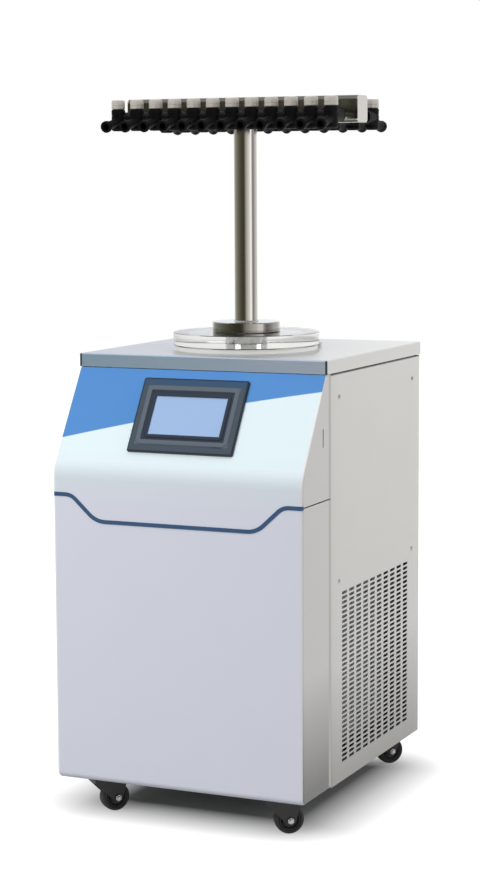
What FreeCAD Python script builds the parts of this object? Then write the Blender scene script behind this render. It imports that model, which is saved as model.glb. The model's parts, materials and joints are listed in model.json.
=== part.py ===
"""Floor-standing laboratory freeze dryer with a T-shaped ampoule manifold.

Millimetres, +Z up, +Y towards the back. The origin is on the floor under the
column, which is also the middle of the machine's outline seen from above.
"""
import FreeCAD, Part
import math
import os

V = FreeCAD.Vector
X, Y, Z = V(1, 0, 0), V(0, 1, 0), V(0, 0, 1)
SIDES = (-1, 1)

# Cabinet
WIDTH = 500.0
DEPTH = 603.0
FLOOR_GAP = 70.0
CABINET_HEIGHT = 790.0
SHEET = 1.5
COLUMN_SETBACK = 319.0          # from the front face to the column's axis
COVER_DEPTH = 132.0             # how far the front covers wrap round the sides
FASCIA_CORNER = 586.6           # height above the cabinet's edge where the slope starts
FASCIA_TILT = 32.1              # degrees from upright
FASCIA_BEND = 60.0
EDGE_RADIUS = 6.0
FOOT_BEND = 12.0
FOOT_RETURN = 25.0
SEAM = 1.0
SLOT_SETBACK = 96.0             # narrow service slot in the right cheek
SLOT_HEIGHT = 652.0
SLOT_LENGTH = 34.0
SLOT_WIDTH = 4.0

HALF = WIDTH / 2
FRONT = -COLUMN_SETBACK
BACK = FRONT + DEPTH
BOTTOM = FLOOR_GAP
TOP = BOTTOM + CABINET_HEIGHT
COVER_END = FRONT + COVER_DEPTH
PAST = 5.0                      # how far a cutting tool runs past what it cuts

# Trim strip between the front covers, along a line that dips in the middle
TRIM_HIGH = BOTTOM + 538.0
TRIM_LOW = BOTTOM + 491.0
TRIM_SHOULDER = 212.0
TRIM_KNEE = 161.0
TRIM_WIDTH = 7.6
TRIM_PROUD = 1.0
TRIM_SHOULDER_BEND = 30.0       # radii of the strip's middle line at its four bends
TRIM_KNEE_BEND = 46.0
COVER_JOINT = 2.4               # open joint between the covers on the cheeks
TRIM_GAP = 0.2

# Operator panel on the slope
PANEL_WIDTH = 212.0
PANEL_HEIGHT = 151.0
PANEL_PROUD = 5.0
PANEL_UP = 114.9                # centre, measured up the slope from its corner
PANEL_CORNER = 4.0
PANEL_BEVEL = 1.5
CASE_INSET = 7.0
CASE_DEPTH = 32.0
STEP_BORDER = 12.0              # sunk border round the screen
SCREEN_WIDTH = 145.0
SCREEN_HEIGHT = 83.0
SCREEN_UP = 2.0
SCREEN_THICK = 1.5

# Side and back panels
FOLD = 14.0
SCREW_HOLE = 2.2
SCREW_SHANK = 2.0
SCREW_LENGTH = 8.0
SCREW_HEAD = 4.5
SCREW_DOME = 1.8
SCREW_HEIGHTS = (BOTTOM + 380.0, BOTTOM + 720.0)
BACK_SCREW_INSET = 8.0
BACK_SCREW_HEIGHTS = (BOTTOM + 40.0,) + SCREW_HEIGHTS
VENT_LOW = BOTTOM + 470.0
VENT_PITCH = 15.0
VENT_COUNT = 10
VENT_HALF = 150.0
VENT_GAP = 5.0

# Tray and frame under the panels
TRAY = 2.0
TRAY_FLANGE = 20.0
TRAY_INSET = 6.5
FLOOR = BOTTOM + 2 + TRAY       # upper face of the tray
TUBE = 25.0
TUBE_WALL = 1.5
POST_FRONT = FRONT + 160.0
POST_REAR = FRONT + 546.0

# Top plate and cold trap
LIP = 25.0
TOP_OVERHANG = 1.0
TOP_FRONT = FRONT + 113.0
TOP_ROUND = 3.0
MOUTH_RADIUS = 112.0
PIN_RADIUS = 3.5
PIN_HEIGHT = 10.0
PIN_PLACE = V(118.0, 82.5, 0)
TRAP_RADIUS = 107.0
TRAP_DEPTH = 260.0
TRAP_ROUND = 20.0
TRAP_RIM = 18.0
FOAM = 24.0
DRAIN_SETBACK = 60.0
NIPPLE_RADIUS = 8.0
NIPPLE_LENGTH = 20.0

# Pipes that leave through the back
PORT_REACH = 2 * COLUMN_SETBACK - DEPTH + TRIM_PROUD
VACUUM_RADIUS = 14.0
VACUUM_HEIGHT = BOTTOM + 650.0
DRAIN_RADIUS = 5.0
DRAIN_HEIGHT = BOTTOM + 60.0
DRAIN_BEND = 25.0
PIPE_WALL = 1.5
COLLAR_EXTRA = 8.0
COLLAR_THICK = 4.0

# Mains inlet
INLET_X = -170.0
INLET_HEIGHT = BOTTOM + 130.0
INLET_FLANGE = (25.0, 13.5)     # half width and half height
INLET_BODY = (15.5, 11.5)
INLET_RECESS = (12.2, 8.5)
INLET_THICK = 3.0
INLET_DEPTH = 24.0
RECESS_DEPTH = 18.0
CONTACT_LENGTH = 12.0

# Cooling unit
COMPRESSOR_PLACE = V(-110.0, 125.0, 0)
CAN_RADIUS = 85.0
CAN_HEIGHT = 210.0
CAN_LIFT = 15.0
CAN_DOME = 38.0
CAN_HEEL = 12.0
CAN_BELT = 3.0
FIN_FACE = HALF - 45.0
CORE_THICK = 44.0
CORE_FRONT = -110.0
CORE_BACK = 200.0
CORE_LOW = FLOOR + 28.0
CORE_HIGH = FLOOR + 330.0
COIL_RADIUS = 4.75
COIL_PITCH = 38.0
COIL_ROWS = 8
END_PLATE = 1.5
END_MARGIN = 6.0
SHROUD_DEPTH = 40.0
SHROUD_WALL = 2.0
FAN_RADIUS = 105.0
FAN_BLADES = 5
BLADE_PITCH = 28.0
BLADE_CHORD = 46.0
HUB_RADIUS = 26.0
HUB_LENGTH = 24.0
FAN_PIN = 4.0
PIN_LENGTH = 14.0
SPIDER_THICK = 3.0

# Lid, column and manifold
GASKET = 8.0
LID_RADIUS = 140.0
LID = 25.0
FLANGE_RADIUS = 65.0
FLANGE = 19.6
FLANGE_SEAT = 4.0
SPIGOT_RADIUS = 27.0
COLUMN_RADIUS = 22.25
COLUMN_WALL = 1.5
COLUMN_BORE = COLUMN_RADIUS - COLUMN_WALL
LID_UNDER = TOP + GASKET
LID_OVER = LID_UNDER + LID
HEADER_TOP = BOTTOM + 1266.0
HEADER_SIZE = 50.0
HEADER_LENGTH = 476.0
HEADER_CORNER = 8.0
HEADER_BOTTOM = HEADER_TOP - HEADER_SIZE

# Valves along both sides of the manifold
PORTS = 12
PORT_PITCH = 39.5
VALVE_OFFSET = 103.0
BARREL_RADIUS = 13.0
BARREL_BOTTOM = BOTTOM + 1204.0
BARREL_TOP = BOTTOM + 1239.7
STUB_RADIUS = 6.0
STUB_REACH = 88.0
STUB_HEIGHT = BOTTOM + 1228.0
VALVE_COLLAR = 9.0
VALVE_COLLAR_END = 78.0
NOZZLE_TILT = 12.0
NOZZLE_LENGTH = 54.0
NOZZLE_ROOT = 7.0
NOZZLE_LIP = 11.0
KNOB_SIZE = 24.0
KNOB_HEIGHT = 21.0
KNOB_SIDES = 8
KNOB_GAP = 0.3
STEM_RADIUS = 2.5
STEM_LENGTH = 12.0
STEM_FIT = 0.05

# Casters
CASTER_X = 178.0
CASTER_FRONT = FRONT + 48.0
CASTER_REAR = FRONT + 568.0
CASTER_ANGLES = {"fl": 52.0, "fr": 36.0, "rl": 60.0, "rr": 45.0}
WHEEL_RADIUS = 27.0
WHEEL_WIDTH = 24.0
TREAD_BEVEL = 2.0
TRAIL = 22.0
AXLE_RADIUS = 4.0
AXLE_END = 1.5
KINGPIN_RADIUS = 6.0
KINGPIN_LENGTH = 9.0
SWIVEL_RADIUS = 20.0
SWIVEL_GAP = 0.5
RUNNING_FIT = 0.05
CASTER_PLATE = (48.0, 40.0, 3.0)
LEG = 4.0
SIDE_PLAY = 1.0


def box(x0, y0, z0, x1, y1, z1):
    """A block between two opposite corners."""
    return Part.makeBox(x1 - x0, y1 - y0, z1 - z0, V(x0, y0, z0))


def slab(half_x, half_y, z0, z1, shift_y=0.0):
    """A block centred on X and on one line of Y."""
    return box(-half_x, shift_y - half_y, z0, half_x, shift_y + half_y, z1)


def post(radius, x, y, z0, z1):
    """An upright cylinder."""
    return Part.makeCylinder(radius, z1 - z0, V(x, y, z0))


def rod(radius, start, along, length):
    """A cylinder from a point in a direction."""
    return Part.makeCylinder(radius, length, start, along)


def ring(outer, inner, z0, z1):
    """An upright ring round the column's axis."""
    return post(outer, 0, 0, z0, z1).cut(post(inner, 0, 0, z0 - 1, z1 + 1))


def prism(points, along):
    """A closed outline carried along a vector."""
    return Part.Face(Part.makePolygon(points + points[:1])).extrude(along)


def round_edges(shape, radius, wanted):
    """Round the edges that a test picks."""
    return shape.makeFillet(radius, [e for e in shape.Edges if wanted(e)])


def bevel_edges(shape, size, wanted):
    """Chamfer the edges that a test picks."""
    return shape.makeChamfer(size, [e for e in shape.Edges if wanted(e)])


def runs_along(way):
    """A test for straight edges parallel to an axis."""
    return lambda edge: abs(edge.tangentAt(edge.FirstParameter).dot(way)) > 0.9


def mirrored(shape):
    """The same piece on the other side of the machine's middle plane."""
    return shape.mirror(V(0, 0, 0), X)


def compound(shapes):
    """Several separate solids as one node."""
    return Part.makeCompound(list(shapes))


def front_block(inset, overshoot=0.0):
    """The solid that the front covers wrap: upright, then a bend, then the slope."""
    tilt = math.radians(FASCIA_TILT)
    front = FRONT + inset
    corner = BOTTOM + FASCIA_CORNER - inset * math.tan(tilt / 2)
    bend = FASCIA_BEND - inset
    foot = FOOT_BEND - inset
    bottom = BOTTOM + inset
    top = TOP - LIP - SEAM + overshoot
    back = COVER_END + overshoot
    half = HALF - inset
    reach = bend * math.tan(tilt / 2)
    up = V(0, math.sin(tilt), math.cos(tilt))
    start = V(-half, front, corner - reach)
    end = V(-half, front, corner) + up * reach
    middle = start + V(0, bend, 0) + V(0, -math.cos(tilt / 2), math.sin(tilt / 2)) * bend
    fascia_top = end + up * ((top - end.z) / up.z)
    foot_front = V(-half, front, bottom + foot)
    foot_back = V(-half, front + foot, bottom)
    foot_middle = V(-half, front + foot, bottom + foot) - V(0, 1, 1) * (foot / math.sqrt(2))
    edges = [
        Part.makeLine(V(-half, back, bottom), foot_back),
        Part.Arc(foot_back, foot_middle, foot_front).toShape(),
        Part.makeLine(foot_front, start),
        Part.Arc(start, middle, end).toShape(),
        Part.makeLine(end, fascia_top),
        Part.makeLine(fascia_top, V(-half, back, top)),
        Part.makeLine(V(-half, back, top), V(-half, back, bottom)),
    ]
    block = Part.Face(Part.Wire(edges)).extrude(V(2 * half, 0, 0))

    def front_outline(edge):
        spot = edge.valueAt((edge.FirstParameter + edge.LastParameter) / 2)
        on_side = abs(abs(spot.x) - half) < 0.01
        return on_side and spot.y < back - 0.01 and spot.z < top - 0.01

    return round_edges(block, EDGE_RADIUS - inset, front_outline)


def trim_line(shift):
    """Points of the parting line across the front, moved up or down square to it."""
    slope = math.atan2(TRIM_HIGH - TRIM_LOW, TRIM_SHOULDER - TRIM_KNEE)
    slide = shift * math.tan(slope / 2)
    half = [
        (HALF + PAST, TRIM_HIGH + shift),
        (TRIM_SHOULDER - slide, TRIM_HIGH + shift),
        (TRIM_KNEE - slide, TRIM_LOW + shift),
    ]
    return [(-x, z) for x, z in half] + half[::-1]


def soften(shape, shift):
    """Round the four bends that a parting line, moved by the shift, gives a shape."""
    line = trim_line(shift)
    for point, radius in ((line[1], TRIM_SHOULDER_BEND + shift), (line[2], TRIM_KNEE_BEND - shift)):
        def at_bend(edge, x=abs(point[0]), z=point[1]):
            spot = edge.valueAt(edge.FirstParameter)
            return runs_along(Y)(edge) and abs(abs(spot.x) - x) < 0.01 and abs(spot.z - z) < 0.01

        shape = round_edges(shape, radius, at_bend)
    return shape


def level_line(z):
    """A straight level line across the front."""
    return [(-HALF - PAST, z), (HALF + PAST, z)]


def band(lower, upper, y0, y1):
    """The space between two lines across the front."""
    outline = [V(x, y0, z) for x, z in lower + upper[::-1]]
    return prism(outline, V(0, y1 - y0, 0))


def front_covers():
    """Upper and lower covers and the trim strip in the joint between them."""
    inside = front_block(SHEET, 2 * PAST)
    shell = front_block(0).cut(inside)
    shell = shell.cut(box(-HALF + EDGE_RADIUS, FRONT + FOOT_RETURN, BOTTOM - 1,
                          HALF - EDGE_RADIUS, COVER_END + 1, BOTTOM + SHEET + 1))
    past = HALF + PAST
    ahead, behind, beyond = FRONT - PAST, FRONT + EDGE_RADIUS, COVER_END + PAST
    below, above = BOTTOM - PAST, TOP
    half = TRIM_WIDTH / 2
    lower_front = soften(band(level_line(below), trim_line(-half), ahead, behind), -half)
    upper_front = soften(band(trim_line(half), level_line(above), ahead, behind), half)
    lower_side = box(-past, behind, below, past, beyond, TRIM_HIGH - COVER_JOINT / 2)
    upper_side = box(-past, behind, TRIM_HIGH + COVER_JOINT / 2, past, beyond, above)
    lower = shell.common(lower_front.fuse(lower_side).removeSplitter())
    upper = shell.common(upper_front.fuse(upper_side).removeSplitter())

    window = slab(PANEL_WIDTH / 2 - CASE_INSET + 1, PANEL_HEIGHT / 2 - CASE_INSET + 1, -CASE_DEPTH, CASE_DEPTH)
    slot_y, slot_z = FRONT + SLOT_SETBACK, BOTTOM + SLOT_HEIGHT
    slot = box(HALF - PAST, slot_y - SLOT_WIDTH / 2, slot_z - SLOT_LENGTH / 2,
               HALF + PAST, slot_y + SLOT_WIDTH / 2, slot_z + SLOT_LENGTH / 2)
    upper = upper.cut(on_fascia(window)).cut(slot)

    edge = TRIM_WIDTH / 2 - TRIM_GAP
    strip = soften(soften(band(trim_line(-edge), trim_line(edge), ahead, behind - 1), -edge), edge)
    proud = front_block(0)
    proud.translate(V(0, -TRIM_PROUD, 0))
    return {"front_upper_cover": upper, "front_lower_cover": lower, "trim_strip": strip.common(proud).cut(inside)}


def on_fascia(shape):
    """Carry a piece drawn flat on XY, facing +Z, to the middle of the operator panel's place."""
    tilt = math.radians(FASCIA_TILT)
    placed = shape.copy()
    placed.rotate(V(0, 0, 0), X, 90 - FASCIA_TILT)
    placed.translate(V(0, FRONT, BOTTOM + FASCIA_CORNER) + V(0, math.sin(tilt), math.cos(tilt)) * PANEL_UP)
    return placed


def operator_panel():
    """Bezel with its case behind the fascia, and the screen in its window."""
    half_w, half_h = PANEL_WIDTH / 2, PANEL_HEIGHT / 2
    bezel = slab(half_w, half_h, 0, PANEL_PROUD)
    bezel = round_edges(bezel, PANEL_CORNER, runs_along(Z))
    bezel = bevel_edges(bezel, PANEL_BEVEL, lambda e: e.BoundBox.ZMin > PANEL_PROUD - 0.01)
    case = slab(half_w - CASE_INSET, half_h - CASE_INSET, -CASE_DEPTH, 0)
    half_sw, half_sh = SCREEN_WIDTH / 2, SCREEN_HEIGHT / 2
    step = slab(half_sw + STEP_BORDER, half_sh + STEP_BORDER, PANEL_PROUD - 1, PANEL_PROUD + 1, SCREEN_UP)
    glass_back = PANEL_PROUD - 1 - SCREEN_THICK - 0.5
    window = slab(half_sw, half_sh, glass_back, PANEL_PROUD + 1, SCREEN_UP)
    screen = slab(half_sw, half_sh, glass_back, glass_back + SCREEN_THICK, SCREEN_UP)
    housing = bezel.fuse(case).removeSplitter().cut(step).cut(window)
    return {"panel_housing": on_fascia(housing), "panel_screen": on_fascia(screen)}


def side_screws():
    """Where a side panel is screwed to the frame's posts: depth and height."""
    return [(y + TUBE / 2, z) for y in (POST_FRONT, POST_REAR) for z in SCREW_HEIGHTS]


def back_screws():
    """Where the back panel is screwed to the side panels' folds: width and height."""
    return [(side * (HALF - BACK_SCREW_INSET), z) for side in SIDES for z in BACK_SCREW_HEIGHTS]


def side_panels():
    """Flat side sheets with their front and rear edges folded in."""
    front, rear = COVER_END + SEAM, BACK - SHEET
    top = TOP - LIP - 2 * SEAM
    fold_foot = FLOOR + TRAY_FLANGE
    skin = box(HALF - SHEET, front, BOTTOM, HALF, rear, top)
    front_fold = box(HALF - FOLD, front, fold_foot, HALF, front + SHEET, top)
    rear_fold = box(HALF - FOLD, rear - SHEET, BOTTOM, HALF, rear, top)
    holes = [rod(SCREW_HOLE, V(HALF - PAST, y, z), X, 2 * PAST) for y, z in side_screws()]
    holes += [rod(SCREW_HOLE, V(x, rear - PAST, z), Y, 2 * PAST) for x, z in back_screws() if x > 0]
    right = skin.multiFuse([front_fold, rear_fold]).removeSplitter().cut(compound(holes))
    return {"side_panel_right": right, "side_panel_left": mirrored(right)}


def back_panel():
    """Flat rear sheet with a row of vent slots, and holes for what passes through it."""
    sheet = box(-HALF + 1, BACK - SHEET, BOTTOM, HALF - 1, BACK, TOP - LIP - 2 * SEAM)
    near, far = BACK - PAST, BACK + PAST
    heights = [VENT_LOW + VENT_PITCH * k for k in range(VENT_COUNT)]
    cuts = [box(-VENT_HALF, near, z, VENT_HALF, far, z + VENT_GAP) for z in heights]
    cuts += [rod(VACUUM_RADIUS + 2, V(0, near, VACUUM_HEIGHT), Y, 2 * PAST)]
    cuts += [rod(DRAIN_RADIUS + 2, V(0, near, DRAIN_HEIGHT), Y, 2 * PAST)]
    cuts += [rod(SCREW_HOLE, V(x, near, z), Y, 2 * PAST) for x, z in back_screws()]
    half_w, half_h = INLET_BODY[0] + 0.5, INLET_BODY[1] + 0.5
    cuts += [box(INLET_X - half_w, near, INLET_HEIGHT - half_h, INLET_X + half_w, far, INLET_HEIGHT + half_h)]
    return {"back_panel": sheet.cut(compound(cuts))}


def panel_screws():
    """Pan-head screws on both sides and the back."""
    def screw(place, outward):
        head = Part.makeCone(SCREW_HEAD, SCREW_HEAD * 0.6, SCREW_DOME, place, outward)
        return head.fuse(rod(SCREW_SHANK, place, outward * -1, SCREW_LENGTH)).removeSplitter()

    right = [screw(V(HALF, y, z), X) for y, z in side_screws()]
    back = [screw(V(x, BACK, z), Y) for x, z in back_screws()]
    return {"panel_screws": compound(right + [mirrored(s) for s in right] + back)}


def base_tray():
    """Floor sheet with its front and rear edges turned up."""
    out = HALF - TRAY_INSET
    front, rear = FRONT + FOOT_BEND + 3, BACK - 2 * SHEET - 0.5
    under = FLOOR - TRAY
    pan = box(-out, front, under, out, rear, under + TRAY_FLANGE)
    return {"base_tray": pan.cut(box(-out - 1, front + TRAY, FLOOR, out + 1, rear - TRAY, TOP))}


def square_tube(x0, y0, z0, x1, y1, z1):
    """A straight length of square tube between two corners, open at its ends."""
    spans = (x1 - x0, y1 - y0, z1 - z0)
    long_way = spans.index(max(spans))
    wall = [0 if way == long_way else TUBE_WALL for way in range(3)]
    low = [a + w for a, w in zip((x0, y0, z0), wall)]
    high = [b - w for b, w in zip((x1, y1, z1), wall)]
    return box(x0, y0, z0, x1, y1, z1).cut(box(*low, *high))


def chassis_frame():
    """Welded square-tube frame: four posts, with rails round the top and the foot."""
    out = HALF - SHEET - 1
    inner = out - TUBE
    high = TOP - SHEET
    tubes = []
    for x in (-out, inner):
        for y in (POST_FRONT, POST_REAR):
            tubes.append(square_tube(x, y, FLOOR, x + TUBE, y + TUBE, high))
    for z in (FLOOR, high - TUBE):
        for y in (POST_FRONT, POST_REAR):
            tubes.append(square_tube(-inner, y, z, inner, y + TUBE, z + TUBE))
        for x in (-out, inner):
            tubes.append(square_tube(x, POST_FRONT + TUBE, z, x + TUBE, POST_REAR, z + TUBE))
    frame = tubes[0].multiFuse(tubes[1:]).removeSplitter()
    return {"chassis_frame": frame.cut(compound(rod(SCREW_SHANK, V(-HALF, y, z), X, WIDTH) for y, z in side_screws()))}


def top_plate():
    """Stainless top with its edges folded down, the trap's mouth and two welded pins."""
    out = HALF + TOP_OVERHANG
    blank = box(-out, TOP_FRONT, TOP - LIP, out, BACK, TOP)
    blank = round_edges(blank, TOP_ROUND, lambda e: e.BoundBox.ZMin > TOP - 0.01)
    under = box(-out + SHEET, TOP_FRONT + SHEET, TOP - LIP - 1, out - SHEET, BACK - SHEET, TOP - SHEET)
    plate = blank.cut(under).cut(post(MOUTH_RADIUS, 0, 0, TOP - PAST, TOP + PAST))
    pins = [post(PIN_RADIUS, side * PIN_PLACE.x, PIN_PLACE.y, TOP - SHEET, TOP + PIN_HEIGHT) for side in SIDES]
    return {"top_plate": plate.multiFuse(pins).removeSplitter()}


def cold_trap():
    """Deep drawn vessel hanging by its rim under the top plate, and the foam round it."""
    rim = TOP - SHEET
    bottom = rim - TRAP_DEPTH
    wrap = TRAP_RADIUS + SHEET
    outside = post(wrap, 0, 0, bottom, rim)
    outside = round_edges(outside, TRAP_ROUND, lambda e: e.BoundBox.ZMax < bottom + 0.01)
    inside = post(TRAP_RADIUS, 0, 0, bottom + SHEET, rim + PAST)
    inside = round_edges(inside, TRAP_ROUND - SHEET, lambda e: e.BoundBox.ZMax < bottom + SHEET + 0.01)
    flange = post(TRAP_RADIUS + TRAP_RIM, 0, 0, rim - SHEET, rim)
    nipple = post(NIPPLE_RADIUS, 0, DRAIN_SETBACK, bottom - NIPPLE_LENGTH, bottom + 1)
    drain_hole = post(DRAIN_RADIUS, 0, DRAIN_SETBACK, bottom - FOAM - PAST, bottom + PAST)
    vacuum_hole = rod(VACUUM_RADIUS - PIPE_WALL, V(0, 0, VACUUM_HEIGHT), Y, 2 * wrap)
    vessel = outside.multiFuse([flange, nipple]).removeSplitter().cut(inside).cut(drain_hole).cut(vacuum_hole)
    foam = post(wrap + FOAM, 0, 0, bottom - FOAM, rim - SHEET)
    foam = foam.cut(outside).cut(nipple).cut(drain_hole)
    foam = foam.cut(rod(VACUUM_RADIUS, V(0, 0, VACUUM_HEIGHT), Y, 2 * wrap))
    return {"cold_trap_vessel": vessel, "trap_insulation": foam}


def pipes():
    """Vacuum pipe straight back from the vessel's wall, and the drain pipe from its floor."""
    end = BACK + PORT_REACH
    wrap = TRAP_RADIUS + SHEET
    start = V(0, wrap / 2, VACUUM_HEIGHT)
    vacuum = rod(VACUUM_RADIUS, start, Y, end - start.y).cut(post(wrap, 0, 0, BOTTOM, TOP))
    vacuum = vacuum.fuse(rod(VACUUM_RADIUS + COLLAR_EXTRA, V(0, BACK, VACUUM_HEIGHT), Y, COLLAR_THICK))
    vacuum = vacuum.removeSplitter().cut(rod(VACUUM_RADIUS - PIPE_WALL, V(0, 0, VACUUM_HEIGHT), Y, end + PAST))

    head = V(0, DRAIN_SETBACK, TOP - SHEET - TRAP_DEPTH)
    turn = V(0, DRAIN_SETBACK, DRAIN_HEIGHT + DRAIN_BEND)
    leave = V(0, DRAIN_SETBACK + DRAIN_BEND, DRAIN_HEIGHT)
    middle = V(0, leave.y, turn.z) - V(0, 1, 1) * (DRAIN_BEND / math.sqrt(2))
    path = Part.Wire([
        Part.LineSegment(head, turn).toShape(),
        Part.Arc(turn, middle, leave).toShape(),
        Part.LineSegment(leave, V(0, end - COLLAR_EXTRA, DRAIN_HEIGHT)).toShape(),
    ])

    def swept(radius):
        section = Part.Wire(Part.makeCircle(radius, head, Z))
        return path.makePipeShell([section], True, False)

    nut_radius = DRAIN_RADIUS + COLLAR_EXTRA / 2 + 2
    corners = [V(nut_radius * math.cos(a), BACK, DRAIN_HEIGHT + nut_radius * math.sin(a))
               for a in (k * math.pi / 3 for k in range(6))]
    nut = prism(corners, Y * (2 * COLLAR_THICK))
    drain = swept(DRAIN_RADIUS).fuse(nut).removeSplitter().cut(swept(DRAIN_RADIUS - PIPE_WALL))
    return {"vacuum_pipe": vacuum, "drain_pipe": drain}


def power_inlet():
    """Three-contact mains inlet: flange outside, body behind the panel, contacts in a recess."""
    def block(half, y0, y1):
        return box(INLET_X - half[0], y0, INLET_HEIGHT - half[1], INLET_X + half[0], y1, INLET_HEIGHT + half[1])

    face = BACK + INLET_THICK
    floor = face - RECESS_DEPTH
    flange = round_edges(block(INLET_FLANGE, BACK, face), 3.0, runs_along(Y))
    shell = flange.fuse(block(INLET_BODY, BACK - INLET_DEPTH, BACK)).removeSplitter()
    contacts = [box(INLET_X + dx - 1, floor - 1, INLET_HEIGHT + dz - 2, INLET_X + dx + 1, floor + CONTACT_LENGTH,
                    INLET_HEIGHT + dz + 2) for dx, dz in ((-7, -2), (0, 3), (7, -2))]
    inlet = shell.cut(block(INLET_RECESS, floor, face + 1)).multiFuse(contacts)
    return {"power_inlet": inlet.removeSplitter()}


def compressor():
    """Hermetic compressor: a turned can with its weld belt, on a foot plate, with two pipe stubs."""
    x, y = COMPRESSOR_PLACE.x, COMPRESSOR_PLACE.y
    low = FLOOR + CAN_LIFT
    high = low + CAN_HEIGHT
    dome, heel = CAN_DOME, CAN_HEEL

    def bend(centre_r, centre_z, radius, start, end):
        points = [V(x + centre_r + radius * math.cos(a), y, centre_z + radius * math.sin(a))
                  for a in (start, (start + end) / 2, end)]
        return Part.Arc(*points).toShape()

    def run(*spots):
        points = [V(x + r, y, z) for r, z in spots]
        return [Part.makeLine(a, b) for a, b in zip(points, points[1:])]

    belt = low + CAN_HEIGHT * 0.4
    profile = run((0, high), (0, low), (CAN_RADIUS - heel, low))
    profile += [bend(CAN_RADIUS - heel, low + heel, heel, -math.pi / 2, 0)]
    profile += run((CAN_RADIUS, low + heel), (CAN_RADIUS, belt), (CAN_RADIUS + CAN_BELT, belt),
                   (CAN_RADIUS + CAN_BELT, belt + 8), (CAN_RADIUS, belt + 8), (CAN_RADIUS, high - dome))
    profile += [bend(CAN_RADIUS - dome, high - dome, dome, 0, math.pi / 2)]
    profile += run((CAN_RADIUS - dome, high), (0, high))
    can = Part.Face(Part.Wire(profile)).revolve(V(x, y, 0), Z, 360)
    plate_z = low + heel / 3
    plate = box(x - CAN_RADIUS, y - 60, plate_z, x + CAN_RADIUS, y + 60, plate_z + 4)
    feet = [post(12, x + sx * 72, y + sy * 48, FLOOR, plate_z) for sx in SIDES for sy in SIDES]
    stubs = [post(COIL_RADIUS, x + side * 25, y, high - 5, high + 15) for side in SIDES]
    return {"compressor": can.multiFuse([plate] + feet + stubs).removeSplitter()}


def condenser():
    """Fin block between two end plates, with the return bends of its coil outside them."""
    mid_x = FIN_FACE - CORE_THICK / 2
    core = box(FIN_FACE - CORE_THICK, CORE_FRONT, CORE_LOW, FIN_FACE, CORE_BACK, CORE_HIGH)
    low = CORE_LOW - END_MARGIN
    plates = [box(FIN_FACE - CORE_THICK, y, low, FIN_FACE, y + END_PLATE, CORE_HIGH + END_MARGIN)
              for y in (CORE_FRONT - END_PLATE, CORE_BACK)]
    first = (CORE_LOW + CORE_HIGH - (COIL_ROWS - 1) * COIL_PITCH) / 2
    bends = []
    for row in range(COIL_ROWS - 1):
        at_front = row % 2 == 0
        y = CORE_FRONT - END_PLATE if at_front else CORE_BACK + END_PLATE
        foot = V(mid_x, y, first + row * COIL_PITCH)
        disc = Part.Face(Part.Wire(Part.makeCircle(COIL_RADIUS, foot, Y)))
        bends.append(disc.revolve(foot + Z * (COIL_PITCH / 2), X, -180 if at_front else 180))
    return {"condenser": core.multiFuse(plates + bends).removeSplitter()}


def fan():
    """Sheet-metal shroud with the fan's pin on a spider, and the five-blade rotor."""
    face = FIN_FACE - CORE_THICK - 0.5
    rear = face - SHROUD_DEPTH
    hub_x = rear + SPIDER_THICK
    y, z = (CORE_FRONT + CORE_BACK) / 2, (CORE_LOW + CORE_HIGH) / 2
    duct = box(rear, CORE_FRONT, CORE_LOW, face, CORE_BACK, CORE_HIGH)
    duct = duct.cut(box(rear + SHROUD_WALL, CORE_FRONT + SHROUD_WALL, CORE_LOW + SHROUD_WALL,
                        face + 1, CORE_BACK - SHROUD_WALL, CORE_HIGH - SHROUD_WALL))
    duct = duct.cut(rod(FAN_RADIUS + 5, V(rear - 1, y, z), X, SHROUD_DEPTH))
    spider = [
        box(rear, y - 6, CORE_LOW, hub_x, y + 6, CORE_HIGH),
        rod(20, V(rear, y, z), X, SPIDER_THICK),
        rod(FAN_PIN, V(hub_x, y, z), X, PIN_LENGTH),
    ]
    hub_start = hub_x + 0.5
    hub = rod(HUB_RADIUS, V(hub_start, y, z), X, HUB_LENGTH)
    hub = hub.cut(rod(FAN_PIN + RUNNING_FIT, V(hub_x, y, z), X, PIN_LENGTH + 0.5))
    blade_x = hub_start + HUB_LENGTH / 2
    root = HUB_RADIUS - 4
    blade = box(blade_x - 1, y + root, z - BLADE_CHORD / 2, blade_x + 1, y + FAN_RADIUS, z + BLADE_CHORD / 2)
    blade.rotate(V(blade_x, y, z), Y, BLADE_PITCH)
    blades = []
    for turn in range(FAN_BLADES):
        one = blade.copy()
        one.rotate(V(blade_x, y, z), X, 360 / FAN_BLADES * turn)
        blades.append(one)
    return {
        "fan_shroud": duct.multiFuse(spider).removeSplitter(),
        "fan_rotor": hub.multiFuse(blades).removeSplitter(),
    }


def lid_and_column():
    """Silicone gasket, clear lid, and the flange and tube of the column."""
    lid = ring(LID_RADIUS, SPIGOT_RADIUS, LID_UNDER, LID_OVER)
    lid = bevel_edges(lid, 1.0, lambda e: e.BoundBox.XMax > LID_RADIUS - 1 and e.BoundBox.ZLength < 0.01)
    flange = post(FLANGE_RADIUS, 0, 0, LID_OVER, LID_OVER + FLANGE)
    flange = bevel_edges(flange, 1.5, lambda e: e.BoundBox.ZLength < 0.01)
    flange = flange.fuse(post(SPIGOT_RADIUS, 0, 0, LID_UNDER, LID_OVER + 1)).removeSplitter()
    seat = LID_OVER + FLANGE_SEAT
    flange = flange.cut(post(COLUMN_BORE, 0, 0, TOP, seat)).cut(post(COLUMN_RADIUS, 0, 0, seat, HEADER_BOTTOM))
    return {
        "lid_gasket": ring(LID_RADIUS - 4, MOUTH_RADIUS, TOP, LID_UNDER),
        "lid_disc": lid,
        "column_flange": flange,
        "column_tube": ring(COLUMN_RADIUS, COLUMN_BORE, seat, HEADER_BOTTOM),
    }


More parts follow.
